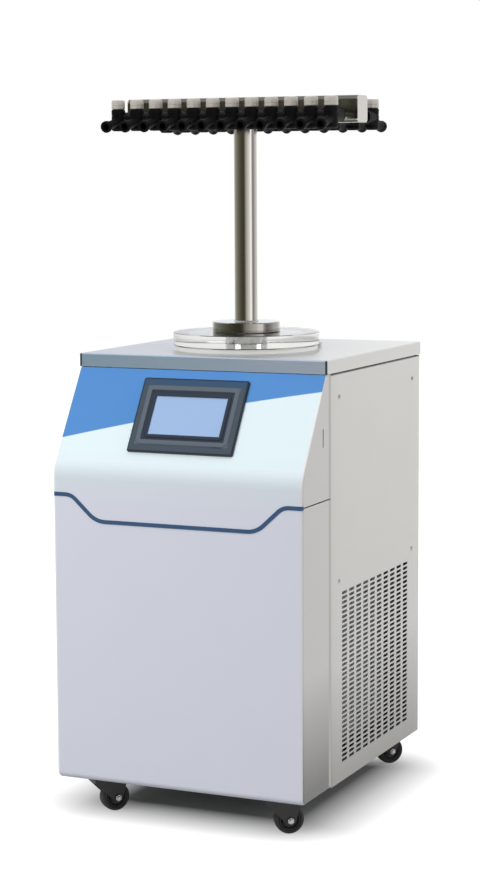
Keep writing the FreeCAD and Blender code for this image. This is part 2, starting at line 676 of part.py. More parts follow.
def port_places():
    """Every valve's place along the header and the side that it faces, front row first."""
    return [((k - (PORTS - 1) / 2) * PORT_PITCH, side) for side in SIDES for k in range(PORTS)]


def manifold_header():
    """Welded manifold: a closed square tube with a stub for each valve."""
    def bar(inset):
        half = HEADER_SIZE / 2 - inset
        length = HEADER_LENGTH / 2 - inset
        solid = slab(length, half, HEADER_BOTTOM + inset, HEADER_TOP - inset)
        return round_edges(solid, HEADER_CORNER - inset, runs_along(X))

    mouth = post(COLUMN_BORE, 0, 0, HEADER_BOTTOM - 1, HEADER_BOTTOM + PAST)
    shell = bar(0).cut(bar(COLUMN_WALL)).cut(mouth)
    root = HEADER_SIZE / 2 - COLUMN_WALL / 2
    stubs = [rod(STUB_RADIUS, V(x, side * root, STUB_HEIGHT), Y * side, STUB_REACH - root)
             for x, side in port_places()]
    return {"manifold_header": shell.multiFuse(stubs).removeSplitter()}


def valve_body(x, side):
    """Moulded rubber elbow: a collar over the stub, an upright barrel and a flared nozzle."""
    y = side * VALVE_OFFSET
    outward = Y * side
    collar_start = V(x, side * VALVE_COLLAR_END, STUB_HEIGHT)
    barrel = post(BARREL_RADIUS, x, y, BARREL_BOTTOM, BARREL_TOP)
    collar = rod(VALVE_COLLAR, collar_start, outward, VALVE_OFFSET - VALVE_COLLAR_END)
    socket = rod(STUB_RADIUS, collar_start, outward, STUB_REACH - VALVE_COLLAR_END)
    tilt = math.radians(NOZZLE_TILT)
    way = V(0, side * math.cos(tilt), -math.sin(tilt))
    middle = V(x, y, (BARREL_BOTTOM + BARREL_TOP) / 2)
    nozzle = Part.makeCone(NOZZLE_ROOT, NOZZLE_LIP, NOZZLE_LENGTH, middle, way)
    bore = post(STEM_RADIUS + STEM_FIT, x, y, BARREL_TOP - STEM_LENGTH, BARREL_TOP + 1)
    return barrel.multiFuse([nozzle, collar]).cut(socket).cut(bore)


def valve_knob(x, side):
    """Eight-sided grip on a round stem that turns in the barrel."""
    y = side * VALVE_OFFSET
    z = BARREL_TOP + KNOB_GAP
    corner = KNOB_SIZE / 2 / math.cos(math.pi / KNOB_SIDES)
    angles = [(k + 0.5) * 2 * math.pi / KNOB_SIDES for k in range(KNOB_SIDES)]
    grip = prism([V(x + corner * math.cos(a), y + corner * math.sin(a), z) for a in angles], Z * KNOB_HEIGHT)
    stem = post(STEM_RADIUS, x, y, BARREL_TOP - STEM_LENGTH + KNOB_GAP, z + 1)
    return grip.fuse(stem).removeSplitter()


def valves():
    """The rubber bodies as one group, and each turning knob by itself."""
    pieces = {"valve_bodies": compound(valve_body(x, side) for x, side in port_places())}
    for number, (x, side) in enumerate(port_places(), 1):
        pieces[f"valve_knob_{number:02d}"] = valve_knob(x, side)
    return pieces


def caster(name, x, y):
    """Mounting plate with its kingpin, swivelling fork with the axle, and the wheel."""
    high = FLOOR - TRAY
    plate_x, plate_y, plate_z = CASTER_PLATE
    low = high - plate_z
    plate = box(x - plate_x / 2, y - plate_y / 2, low, x + plate_x / 2, y + plate_y / 2, high)
    plate = plate.fuse(post(KINGPIN_RADIUS, x, y, low - KINGPIN_LENGTH, high)).removeSplitter()

    head_top = low - SWIVEL_GAP
    head_bottom = head_top - KINGPIN_LENGTH - SWIVEL_GAP
    inside = WHEEL_WIDTH / 2 + SIDE_PLAY
    wide = inside + LEG
    shoulder = head_top - 3
    skirt = head_bottom + 1
    side = [
        V(-24, wide, shoulder),
        V(-24, wide, skirt),
        V(TRAIL - 9, wide, WHEEL_RADIUS - 4),
        V(TRAIL - 4, wide, WHEEL_RADIUS - 9),
        V(TRAIL + 4, wide, WHEEL_RADIUS - 9),
        V(TRAIL + 9, wide, WHEEL_RADIUS - 4),
        V(TRAIL + 20, wide, skirt),
        V(TRAIL + 14, wide, shoulder),
    ]
    axle_start = V(TRAIL, -wide - AXLE_END, WHEEL_RADIUS)
    fork = prism(side, Y * (-2 * wide)).cut(box(-30, -inside, 0, TRAIL + 40, inside, head_bottom - 1))
    fork = fork.multiFuse([post(SWIVEL_RADIUS, 0, 0, head_bottom, head_top),
                           rod(AXLE_RADIUS, axle_start, Y, 2 * (wide + AXLE_END))]).removeSplitter()
    fork = fork.cut(post(KINGPIN_RADIUS + RUNNING_FIT, 0, 0, head_bottom - 2, head_top + 1))
    wheel = rod(WHEEL_RADIUS, V(TRAIL, -WHEEL_WIDTH / 2, WHEEL_RADIUS), Y, WHEEL_WIDTH)
    wheel = bevel_edges(wheel, TREAD_BEVEL, lambda e: e.BoundBox.YLength < 0.01)
    wheel = wheel.cut(rod(AXLE_RADIUS + RUNNING_FIT, V(TRAIL, -wide, WHEEL_RADIUS), Y, 2 * wide))
    for piece in (fork, wheel):
        piece.rotate(V(0, 0, 0), Z, CASTER_ANGLES[name])
        piece.translate(V(x, y, 0))
    return plate, fork, wheel


def casters():
    """Four swivel casters, each trailing its own way."""
    pieces = {}
    plates = []
    for row, y in (("f", CASTER_FRONT), ("r", CASTER_REAR)):
        for end, x in (("l", -CASTER_X), ("r", CASTER_X)):
            name = row + end
            plate, pieces["caster_fork_" + name], pieces["caster_wheel_" + name] = caster(name, x, y)
            plates.append(plate)
    pieces["caster_plates"] = compound(plates)
    return pieces


def main():
    """Build every piece and write it."""
    os.makedirs("parts", exist_ok=True)
    groups = (front_covers, operator_panel, side_panels, back_panel, panel_screws, base_tray, chassis_frame,
              top_plate, cold_trap, pipes, power_inlet, compressor, condenser, fan, lid_and_column,
              manifold_header, valves, casters)
    for group in groups:
        for name, shape in group().items():
            shape.exportStep("parts/" + name + ".step")


main()
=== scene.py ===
"""Studio scene of a floor-standing freeze dryer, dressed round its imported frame.

Lengths are metres, +X to the operator's right, +Y towards the back, +Z up.
The origin is on the floor under the column.
"""
import json
import logging
import math
from dataclasses import dataclass
from enum import Enum
from typing import Any, Sequence

import bmesh
import bpy
import numpy as np
from mathutils import Matrix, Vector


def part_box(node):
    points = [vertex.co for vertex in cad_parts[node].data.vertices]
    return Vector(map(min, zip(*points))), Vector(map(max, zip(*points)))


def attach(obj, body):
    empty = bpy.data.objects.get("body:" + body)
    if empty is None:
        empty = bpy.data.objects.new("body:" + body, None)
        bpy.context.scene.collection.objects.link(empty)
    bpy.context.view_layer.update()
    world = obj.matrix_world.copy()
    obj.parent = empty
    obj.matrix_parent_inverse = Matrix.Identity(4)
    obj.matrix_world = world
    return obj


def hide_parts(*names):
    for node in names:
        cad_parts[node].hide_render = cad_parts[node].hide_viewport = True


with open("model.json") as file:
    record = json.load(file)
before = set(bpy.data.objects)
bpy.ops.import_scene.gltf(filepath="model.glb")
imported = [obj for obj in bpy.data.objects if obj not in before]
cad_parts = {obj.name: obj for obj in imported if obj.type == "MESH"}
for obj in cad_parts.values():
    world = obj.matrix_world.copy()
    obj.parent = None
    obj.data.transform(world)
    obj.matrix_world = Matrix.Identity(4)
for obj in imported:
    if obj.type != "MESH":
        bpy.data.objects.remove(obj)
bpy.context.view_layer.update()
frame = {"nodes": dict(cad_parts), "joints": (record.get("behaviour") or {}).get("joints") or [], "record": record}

MM = 0.001
MACHINE = "machine"
CORNERS = ("fl", "fr", "rl", "rr")
PANEL_TILT = math.radians(32.1)
PANEL_CENTRE = (0.0, -0.25794, 0.75393)
DISPLAY_RISE = -0.6 * MM
SAME_PLACE = 2e-6
log = logging.getLogger("freeze_dryer")

Colour = tuple[float, float, float]
Point = tuple[float, float, float]


def linear(colour: Colour) -> Colour:
    """Turn a display colour into the renderer's linear light.

    Args:
        colour: Red, green and blue from 0 to 255.

    Returns:
        The same colour as linear values from 0 to 1.
    """
    parts = np.asarray(colour, float) / 255
    light = np.where(parts <= 0.04045, parts / 12.92, ((parts + 0.055) / 1.055) ** 2.4)
    return tuple(float(p) for p in light)


# ---------------------------------------------------------------- shader tools


class Value:
    """A number in a material that Python arithmetic works on."""

    def __init__(self, board: "Board", source: Any) -> None:
        """Wrap an output socket or a plain number of one board."""
        self.board = board
        self.source = source

    def maths(self, operation: str, *others: Any) -> "Value":
        """Add one Math node.

        Args:
            operation: The node's operation.
            others: The second and third terms, as values or numbers.

        Returns:
            The node's result.
        """
        terms = dict(enumerate((self, *others)))
        return Value(self.board, self.board.node("ShaderNodeMath", {"operation": operation}, terms).outputs[0])

    def __add__(self, other: Any) -> "Value":
        """Sum."""
        return self.maths("ADD", other)

    def __sub__(self, other: Any) -> "Value":
        """Difference."""
        return self.maths("SUBTRACT", other)

    def __rsub__(self, other: Any) -> "Value":
        """Difference from a number on the left."""
        return Value(self.board, other).maths("SUBTRACT", self)

    def __mul__(self, other: Any) -> "Value":
        """Product."""
        return self.maths("MULTIPLY", other)

    def __truediv__(self, other: Any) -> "Value":
        """Quotient."""
        return self.maths("DIVIDE", other)

    def __pow__(self, other: Any) -> "Value":
        """Power."""
        return self.maths("POWER", other)

    def __abs__(self) -> "Value":
        """Size without its sign."""
        return self.maths("ABSOLUTE")

    def __or__(self, other: Any) -> "Value":
        """The larger of two."""
        return self.maths("MAXIMUM", other)

    def __and__(self, other: Any) -> "Value":
        """The smaller of two."""
        return self.maths("MINIMUM", other)

    __radd__ = __add__
    __rmul__ = __mul__

    def clamped(self) -> "Value":
        """The value kept between 0 and 1."""
        return (self | 0.0) & 1.0

    def above(self, edge: Any, width: float = 0.0005) -> "Value":
        """A soft step from 0 to 1.

        Args:
            edge: Where the step is half way up, as a value or number.
            width: How wide the step is.

        Returns:
            The mask.
        """
        return ((self - edge) / width + 0.5).clamped()

    def below(self, edge: Any, width: float = 0.0005) -> "Value":
        """The soft step the other way up."""
        return 1 - self.above(edge, width)


class Board:
    """The node tree of a material or world, with short ways to add nodes to it."""

    def __init__(self, owner: bpy.types.Material | bpy.types.World) -> None:
        """Start with an empty tree.

        Args:
            owner: The material or world.
        """
        owner.use_nodes = True
        self.tree = owner.node_tree
        self.tree.nodes.clear()

    def node(self, kind: str, settings: dict[str, Any] | None = None,
             inputs: dict[Any, Any] | None = None) -> bpy.types.Node:
        """Add a node.

        Args:
            kind: The node's type.
            settings: Attributes to set first; "stops" are a ramp's (place, colour) pairs.
            inputs: What each socket gets: a value, a link or a constant.

        Returns:
            The node.
        """
        made = self.tree.nodes.new(kind)
        for key, setting in (settings or {}).items():
            if key == "stops":
                self.set_stops(made.color_ramp, setting)
            else:
                setattr(made, key, setting)
        for key, given in (inputs or {}).items():
            self.feed(made.inputs[key], given)
        return made

    @staticmethod
    def set_stops(ramp: bpy.types.ColorRamp, stops: Sequence[tuple[float, Colour]]) -> None:
        """Give a ramp its stops.

        Args:
            ramp: The colour ramp.
            stops: Place and display colour of each stop, in order.
        """
        for index, (place, colour) in enumerate(stops):
            stop = ramp.elements[index] if index < 2 else ramp.elements.new(place)
            stop.position = place
            stop.color = (*linear(colour), 1.0)

    def feed(self, socket: bpy.types.NodeSocket, given: Any) -> None:
        """Link or set one input socket.

        Args:
            socket: The input.
            given: A value, an output socket or a constant.
        """
        given = given.source if isinstance(given, Value) else given
        if isinstance(given, bpy.types.NodeSocket):
            self.tree.links.new(given, socket)
        else:
            socket.default_value = given

    def where(self) -> bpy.types.NodeSocket:
        """The point's own place on the machine, in metres."""
        return self.node("ShaderNodeTexCoord").outputs["Object"]

    def spot(self) -> tuple[Value, Value, Value]:
        """X, Y and Z of the point's own place."""
        split = self.node("ShaderNodeSeparateXYZ", inputs={0: self.where()})
        return tuple(Value(self, out) for out in split.outputs)

    def noise(self, size: float, detail: float = 2.0, rough: float = 0.5,
              stretch: Point = (1.0, 1.0, 1.0)) -> Value:
        """Soft random wander over the surface.

        Args:
            size: Width of a blotch, in metres.
            detail: How many finer layers are added.
            rough: How strong the finer layers are.
            stretch: How many times longer a blotch is along each axis.

        Returns:
            Values about one half.
        """
        scale = tuple(1 / s for s in stretch)
        mapped = self.node("ShaderNodeMapping", inputs={"Vector": self.where(), "Scale": scale}).outputs[0]
        made = self.node("ShaderNodeTexNoise", inputs={
            "Vector": mapped, "Scale": 1 / size, "Detail": detail, "Roughness": rough})
        return Value(self, made.outputs[0])

    def cells(self, size: float, feature: str = "F1") -> Value:
        """Distance to the nearest of many random points.

        Args:
            size: Width of a cell, in metres.
            feature: Which distance is wanted.

        Returns:
            The distance as a share of the cell.
        """
        made = self.node("ShaderNodeTexVoronoi", {"feature": feature}, {"Vector": self.where(), "Scale": 1 / size})
        return Value(self, made.outputs["Distance"])

    def blend(self, factor: Any, first: Any, second: Any) -> bpy.types.NodeSocket:
        """Mix two colours.

        Args:
            factor: 0 gives the first, 1 the second.
            first: A display colour or a colour socket.
            second: Another.

        Returns:
            The mixed colour's socket.
        """
        ends = [(*linear(c), 1.0) if isinstance(c, tuple) else c for c in (first, second)]
        made = self.node("ShaderNodeMix", {"data_type": "RGBA"}, {0: factor, 6: ends[0], 7: ends[1]})
        return made.outputs[2]

    def vary(self, factor: Value, colour: Colour, share: float) -> bpy.types.NodeSocket:
        """A colour that goes from darker to lighter by a share each way as the factor rises."""
        return self.blend(factor, shade(colour, 1 - share), shade(colour, 1 + share))

    def bump(self, height: Value, depth: float) -> bpy.types.NodeSocket:
        """A shading normal from a height of 0 to 1, where 1 is the depth in metres."""
        return self.node("ShaderNodeBump", inputs={"Height": height, "Distance": depth}).outputs[0]

    def finish(self, surface: bpy.types.Node, kind: str = "Material") -> None:
        """Send a node's shader to the output of a material or world."""
        self.node(f"ShaderNodeOutput{kind}", inputs={"Surface": surface.outputs[0]})


# -------------------------------------------------------------------- finishes


def shade(colour: Colour, share: float) -> Colour:
    """A display colour made lighter or darker by a share."""
    return tuple(min(255.0, c * share) for c in colour)


@dataclass(frozen=True)
class Finish:
    """A surface with slight drift of colour and gloss and fine relief.

    Attributes:
        name: Material name.
        colour: Display colour.
        roughness: Middle of the gloss range.
        metallic: 1 for bare metal.
        drift: Share by which brightness wanders.
        drift_size: Width of that wander, in metres.
        polish: How far roughness wanders.
        relief: Depth of the fine relief, in metres.
        relief_size: Width of its grains, in metres.
        coat: Clear layer on top.
        coat_roughness: Roughness of that layer.
        specular: Strength of the plain reflection.
    """
    name: str
    colour: Colour
    roughness: float = 0.45
    metallic: float = 0.0
    drift: float = 0.03
    drift_size: float = 0.15
    polish: float = 0.06
    relief: float = 0.00003
    relief_size: float = 0.0016
    coat: float = 0.0
    coat_roughness: float = 0.12
    specular: float = 0.5

    def tone(self, board: Board) -> bpy.types.NodeSocket:
        """The colour over the surface."""
        return board.vary(board.noise(self.drift_size, detail=3.0, rough=0.55), self.colour, self.drift)

    def gloss(self, board: Board) -> Value:
        """The roughness over the surface."""
        wander = board.noise(self.drift_size / 3, detail=3.0, rough=0.6)
        return self.roughness - self.polish + wander * (2 * self.polish)

    def grain(self, board: Board) -> Value:
        """The height of the fine relief."""
        return board.noise(self.relief_size)

    def metal(self, board: Board) -> Any:
        """How metallic the surface is, as a constant or as a value that varies."""
        return self.metallic

    def fixed(self) -> dict[str, Any]:
        """Constants set on the shader's own sockets."""
        return {"Coat Weight": self.coat, "Coat Roughness": self.coat_roughness, "Specular IOR Level": self.specular}

    def build(self) -> bpy.types.Material:
        """Make the material.

        Returns:
            The material with its nodes.
        """
        material = bpy.data.materials.new(self.name)
        board = Board(material)
        varying = {"Base Color": self.tone(board), "Roughness": self.gloss(board), "Metallic": self.metal(board),
                   "Normal": board.bump(self.grain(board), self.relief)}
        board.finish(board.node("ShaderNodeBsdfPrincipled", inputs={**self.fixed(), **varying}))
        return material


class Grain(Enum):
    """Which way steel was brushed."""
    ALONG_X = (60.0, 1.0, 1.0)
    ALONG_Y = (1.0, 60.0, 1.0)
    ALONG_Z = (1.0, 1.0, 60.0)


@dataclass(frozen=True)
class BrushedSteel(Finish):
    """Bare steel with brushing lines.

    Attributes:
        along: The direction of the lines.
        line: Width of a line, in metres.
        line_share: The lines' part in the wander of brightness.
    """
    along: Grain = Grain.ALONG_X
    line: float = 0.0006
    line_share: float = 0.6

    def streaks(self, board: Board) -> Value:
        """Long thin streaks across the surface."""
        return board.noise(self.line, detail=3.0, rough=0.65, stretch=self.along.value)

    def tone(self, board: Board) -> bpy.types.NodeSocket:
        """Streaky grey with a slow drift.

        Args:
            board: The material's board.

        Returns:
            The colour's socket.
        """
        slow = board.noise(self.drift_size)
        mixed = self.streaks(board) * self.line_share + slow * (1 - self.line_share)
        return board.vary(mixed, self.colour, 2 * self.drift)

    def gloss(self, board: Board) -> Value:
        """Roughness that follows the lines."""
        return self.roughness - self.polish + self.streaks(board) * (2 * self.polish)

    def grain(self, board: Board) -> Value:
        """The lines' own relief."""
        return self.streaks(board)


@dataclass(frozen=True)
class TwoSteels(BrushedSteel):
    """Bare steel with another polish and another colour in a zone above some height.

    Attributes:
        other: Display colour in the zone.
        other_roughness: Least roughness in the zone.
        other_polish: How far roughness wanders there.
        zone_from: Height where the zone starts.
        zone_radius: How far from the upright axis it reaches.
        zone_half: How far along X it reaches to each side.
        right: Display colour at the right end, if it differs, a painted highlight where light falls from the right.
        lip: Display colour of the front lip, where there is one, a bluish painted reflection.
        lip_lit_right: Display colour of the lip's right end, lighter as painted light.
        lip_front: Where the front lip ends towards the back.
        lip_end: Half width from which the lip is its folded corner.
        lip_corner_shade: Share of the lip's brightness that the folded corner keeps, as painted shade in the corner's
            gap.
    """
    other: Colour = (200.0, 200.0, 200.0)
    other_roughness: float = 0.1
    other_polish: float = 0.04
    zone_from: float = 1.0
    zone_radius: float = 1.0
    zone_half: float = 1.0
    right: Colour | None = None
    lip: Colour | None = None
    lip_lit_right: Colour = (200.0, 200.0, 200.0)
    lip_front: float = -1.0
    lip_end: float = 1.0
    lip_corner_shade: float = 0.42

    def zone(self, board: Board) -> Value:
        """Tell the zone from the rest.

        Args:
            board: The material's board.

        Returns:
            1 in the zone and 0 outside it.
        """
        x, y, z = board.spot()
        near = ((x * x + y * y) ** 0.5).below(self.zone_radius)
        return z.above(self.zone_from) & near & abs(x).below(self.zone_half)

    def tone(self, board: Board) -> bpy.types.NodeSocket:
        """The streaky grey with a painted highlight towards the right end and its lip with painted reflection, light
        and shade, or the zone's colour.

        Args:
            board: The material's board.

        Returns:
            The colour's socket.
        """
        streaky = board.vary(self.streaks(board), self.other, self.drift)
        plain = BrushedSteel.tone(self, board)
        if self.lip:
            x, y = board.spot()[:2]
            along = ((x / self.lip_end + 1) * 0.5).clamped()
            # painted highlight: the plain steel grows lighter towards the right end
            plain = board.blend(along, plain, self.right)
            # painted reflection and light: the lip's bluish tint grows lighter towards the right end
            band = board.blend(along, self.lip, self.lip_lit_right)
            # painted shade in the gap of the folded corner
            folded = board.blend(abs(x).above(self.lip_end, width=0.001), band, shade(self.lip, self.lip_corner_shade))
            plain = board.blend(y.below(self.lip_front), plain, folded)
        return board.blend(self.zone(board), plain, streaky)

    def gloss(self, board: Board) -> Value:
        """Each steel's own roughness.

        Args:
            board: The material's board.

        Returns:
            The roughness.
        """
        inside = self.other_roughness + self.streaks(board) * self.other_polish
        zone = self.zone(board)
        return zone * inside + (1 - zone) * BrushedSteel.gloss(self, board)

    def metal(self, board: Board) -> Any:
        """Bare in the zone, and as given outside it.

        Args:
            board: The material's board.

        Returns:
            A value that varies, or the constant where the whole surface is bare.
        """
        if self.metallic == 1:
            return self.metallic
        return self.zone(board) * (1 - self.metallic) + self.metallic


@dataclass(frozen=True)
class PanelPaint(Finish):
    """Powder coat, with painted shade that greys it towards the foot and a painted shadow strip under its top edge.

    Attributes:
        foot: Display colour of the painted shade at the foot.
        foot_shade_low: Height where that painted shade is full.
        foot_shade_high: Height where it starts.
        shade_strip: Display colour of a painted shade strip.
        shade_strip_from: Height of the lower edge of the painted shadow strip under the top plate's lip.
    """
    foot: Colour = (180.0, 179.0, 175.0)
    foot_shade_low: float = 0.08
    foot_shade_high: float = 0.30
    shade_strip: Colour = (104.0, 101.0, 96.0)
    shade_strip_from: float = 9.0

    def foot_shaded(self, board: Board, clean: Any) -> bpy.types.NodeSocket:
        """The clean colour, with painted shade that greys it towards the foot.

        Args:
            board: The material's board.
            clean: The clean colour, as a display colour or a socket.

        Returns:
            The colour's socket.
        """
        # painted shade: the colour greys towards the foot
        height = board.spot()[2]
        low = (self.foot_shade_high - height) / (self.foot_shade_high - self.foot_shade_low)
        return board.blend(low.clamped(), clean, self.foot)

    def tone(self, board: Board) -> bpy.types.NodeSocket:
        """The paint with painted shade towards the foot and a painted shadow strip under its top edge."""
        # painted shadow of the gap under the top plate's lip
        with_shade_strip = board.blend(board.spot()[2].above(self.shade_strip_from, width=0.001), Finish.tone(self, board), self.shade_strip)
        return self.foot_shaded(board, with_shade_strip)


@dataclass(frozen=True)
class FasciaPaint(PanelPaint):
    """White powder coat with a blue field on the slope above a rising line.

    Attributes:
        upper: Display colour of the white on the slope, lighter and cyan as painted light from above.
        lit_slope_from: Height where the slope's painted light starts.
        blue: Display colour of the blue field.
        line_height: Height of the line in the middle, in metres.
        line_rise: Rise per metre to the right.
        line_sag: How much the rise eases, per metre squared.
        field_half: Half width of the blue field.
        lowest: Height under which the cover is always white.
        cheek: Display colour of the two cheeks.
        cheek_from: Half width from which the cover is cheek.
        blue_drift: Share by which the blue's brightness wanders.
        edge: Display colour of a painted highlight along the cover's two upright front edges.
        highlight_width: How wide that is.
        shade_strip: Display colour of painted shade along the cheek's rear edge, by the seam.
        shade_strip_width: How wide that strip is.
        seam: Where the cheek meets the side panel.
    """
    upper: Colour = (234.0, 250.0, 255.0)
    lit_slope_from: float = 0.64
    blue: Colour = (80.0, 144.0, 214.0)
    line_height: float = 0.7622
    line_rise: float = 0.1943
    line_sag: float = 0.082
    field_half: float = 0.2485
    lowest: float = 0.66
    cheek: Colour = (214.0, 212.0, 210.0)
    cheek_from: float = 0.2486
    blue_drift: float = 0.03
    edge: Colour = (250.0, 252.0, 255.0)
    highlight_width: float = 0.003
    shade_strip: Colour = (190.0, 189.0, 187.0)
    shade_strip_width: float = 0.011
    seam: float = 0.0

    def tone(self, board: Board) -> bpy.types.NodeSocket:
        """White or blue, each with a faint drift, the slope's white with painted light, painted highlights on the
        front edges, and grey cheeks with painted shade at the foot and along the seam.

        Args:
            board: The material's board.

        Returns:
            The colour's socket.
        """
        x, y, z = board.spot()
        line = self.line_height + x * self.line_rise - x * x * self.line_sag
        on_slope = z.above(line, width=0.0012) & z.above(self.lowest, width=0.001)
        field = on_slope & abs(x).below(self.field_half, width=0.001)
        wander = board.noise(self.drift_size, detail=3.0, rough=0.55)
        lower = board.vary(wander, self.colour, self.drift)
        # painted light: the white on the slope is lighter and cyan
        white = board.blend(z.above(self.lit_slope_from, width=0.1), lower, self.upper)
        blue = board.vary(wander, self.blue, self.blue_drift)
        # painted highlight along the upright front edges
        highlighted = board.blend(abs(x).above(self.cheek_from - self.highlight_width, width=0.004), white, self.edge)
        front = board.blend(field, highlighted, blue)
        # painted shade: the cheek greys towards the foot and darkens along the seam
        cheek = board.blend(y.above(self.seam - self.shade_strip_width, width=0.003), self.foot_shaded(board, self.cheek), self.shade_strip)
        return board.blend(abs(x).above(self.cheek_from, width=0.0016), front, cheek)


@dataclass(frozen=True)
class BezelPlastic(Finish):
    """Dark moulded bezel, bluer along its top and near black at its rim.

    Attributes:
        band: Display colour of the top band.
        rim: Display colour of the outer edge.
        frame: Display colour of the raised frame.
        recess: Display colour between frame and display.
        half: Half width of the bezel, and half its height up the slope.
        rim_width: Width of the rim.
        band_from: How far above the panel's middle the band starts.
        view_half: Half width and half height of the display in its border.
        frame_span: How far from the display the raised frame starts and ends.
        recess_end: How far from the display the recess ends.
    """
    band: Colour = (42.0, 76.0, 108.0)
    rim: Colour = (20.0, 28.0, 44.0)
    frame: Colour = (90.0, 101.0, 113.0)
    recess: Colour = (34.0, 45.0, 62.0)
    half: tuple[float, float] = (0.106, 0.0755)
    rim_width: float = 0.003
    band_from: float = 0.06
    view_half: tuple[float, float] = (0.072, 0.0389)
    frame_span: tuple[float, float] = (0.0115, 0.021)
    recess_end: float = 0.0105

    def tone(self, board: Board) -> bpy.types.NodeSocket:
        """Slate with the band, the raised frame, the recess round the display and the rim.

        Args:
            board: The material's board.

        Returns:
            The colour's socket.
        """
        x, y, z = board.spot()
        up = (y - PANEL_CENTRE[1]) * math.sin(PANEL_TILT) + (z - PANEL_CENTRE[2]) * math.cos(PANEL_TILT)
        base = Finish.tone(self, board)
        with_band = board.blend(up.above(self.band_from, width=0.008), base, self.band)
        ring = (abs(x) - self.view_half[0]) | (abs(up - DISPLAY_RISE) - self.view_half[1])
        on_frame = ring.above(self.frame_span[0], width=0.002) & ring.below(self.frame_span[1], width=0.002)
        framed = board.blend(on_frame, with_band, self.frame)
        sunk = board.blend(ring.below(self.recess_end, width=0.002), framed, self.recess)
        wide, tall = (size - self.rim_width for size in self.half)
        return board.blend(abs(x).above(wide, width=0.001) | abs(up).above(tall, width=0.001), sunk, self.rim)


@dataclass(frozen=True)
class Glow(Finish):
    """A lit display behind glass.

    Attributes:
        light: Strength of the light it gives.
    """
    light: float = 0.35

    def fixed(self) -> dict[str, Any]:
        """The plain constants, with the light it gives."""
        return {**Finish.fixed(self), "Emission Color": (*linear(self.colour), 1.0), "Emission Strength": self.light}


@dataclass(frozen=True)
class ClearPlastic(Finish):
    """Cast acrylic, clear through its thickness.

    Attributes:
        index: Refractive index.
    """
    index: float = 1.49

    def fixed(self) -> dict[str, Any]:
        """The plain constants, with light let through."""
        return {**Finish.fixed(self), "Transmission Weight": 1.0, "IOR": self.index}


@dataclass(frozen=True)
class Speckled(Finish):
    """A surface of small cells: foam, zinc spangle or cast grain.

    Attributes:
        cell: Width of a cell, in metres.
        contrast: How far a cell's brightness differs.
    """
    cell: float = 0.004
    contrast: float = 0.1

    def tone(self, board: Board) -> bpy.types.NodeSocket:
        """Cells of slightly different brightness."""
        return board.vary(board.cells(self.cell), self.colour, self.contrast)

    def grain(self, board: Board) -> Value:
        """Shallow pits between the cells."""
        return board.cells(self.cell, "SMOOTH_F1")


@dataclass(frozen=True)
class Finned(Finish):
    """Stacked thin fins across the air flow.

    Attributes:
        pitch: Distance from fin to fin, in metres.
        gap_shade: Share of the fins' brightness that is left between them, as painted shade in the gaps.
    """
    pitch: float = 0.0025
    gap_shade: float = 0.35

    def comb(self, board: Board) -> Value:
        """0 in the gaps and 1 on the fins."""
        return (board.spot()[1] * (math.tau / self.pitch)).maths("SINE") * 0.5 + 0.5

    def tone(self, board: Board) -> bpy.types.NodeSocket:
        """Bright fins with painted shade in the gaps."""
        return board.blend(self.comb(board), shade(self.colour, self.gap_shade), self.colour)

    def grain(self, board: Board) -> Value:
        """The fins' own relief."""
        return self.comb(board)


class Shop:
    """Builds each finish once and puts it on pieces and nodes."""

    def __init__(self, finishes: dict[str, Finish]) -> None:
        """Build every slot's material.

        Args:
            finishes: The finish of each material slot of the record.
        """
        self.materials = {slot: finish.build() for slot, finish in finishes.items()}

    def dress_nodes(self) -> None:
        """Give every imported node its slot's material."""
        for part in frame["record"]["subparts"]:
            node = frame["nodes"][part["node"]]
            node.data.materials.clear()
            node.data.materials.append(self.materials[part["material_slot"]])

    def dress(self, piece: bpy.types.Object, slot: str, body: str = MACHINE) -> bpy.types.Object:
        """Finish a new piece and hang it on its body.

        Args:
            piece: The new object.
            slot: Its material slot in the record.
            body: The body it moves with.

        Returns:
            The same object.
        """
        piece.data.materials.clear()
        piece.data.materials.append(self.materials[slot])
        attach(piece, body)
        triangles = sum(len(p.vertices) - 2 for p in piece.data.polygons)
        log.info("%s: %d triangles, %s, rides on %s", piece.name, triangles, slot, body)
        return piece


# ---------------------------------------------------------------- shape tools


def unit(way: Sequence[float]) -> np.ndarray:
    """A direction of length 1."""
    way = np.asarray(way, float)
    return way / np.linalg.norm(way)


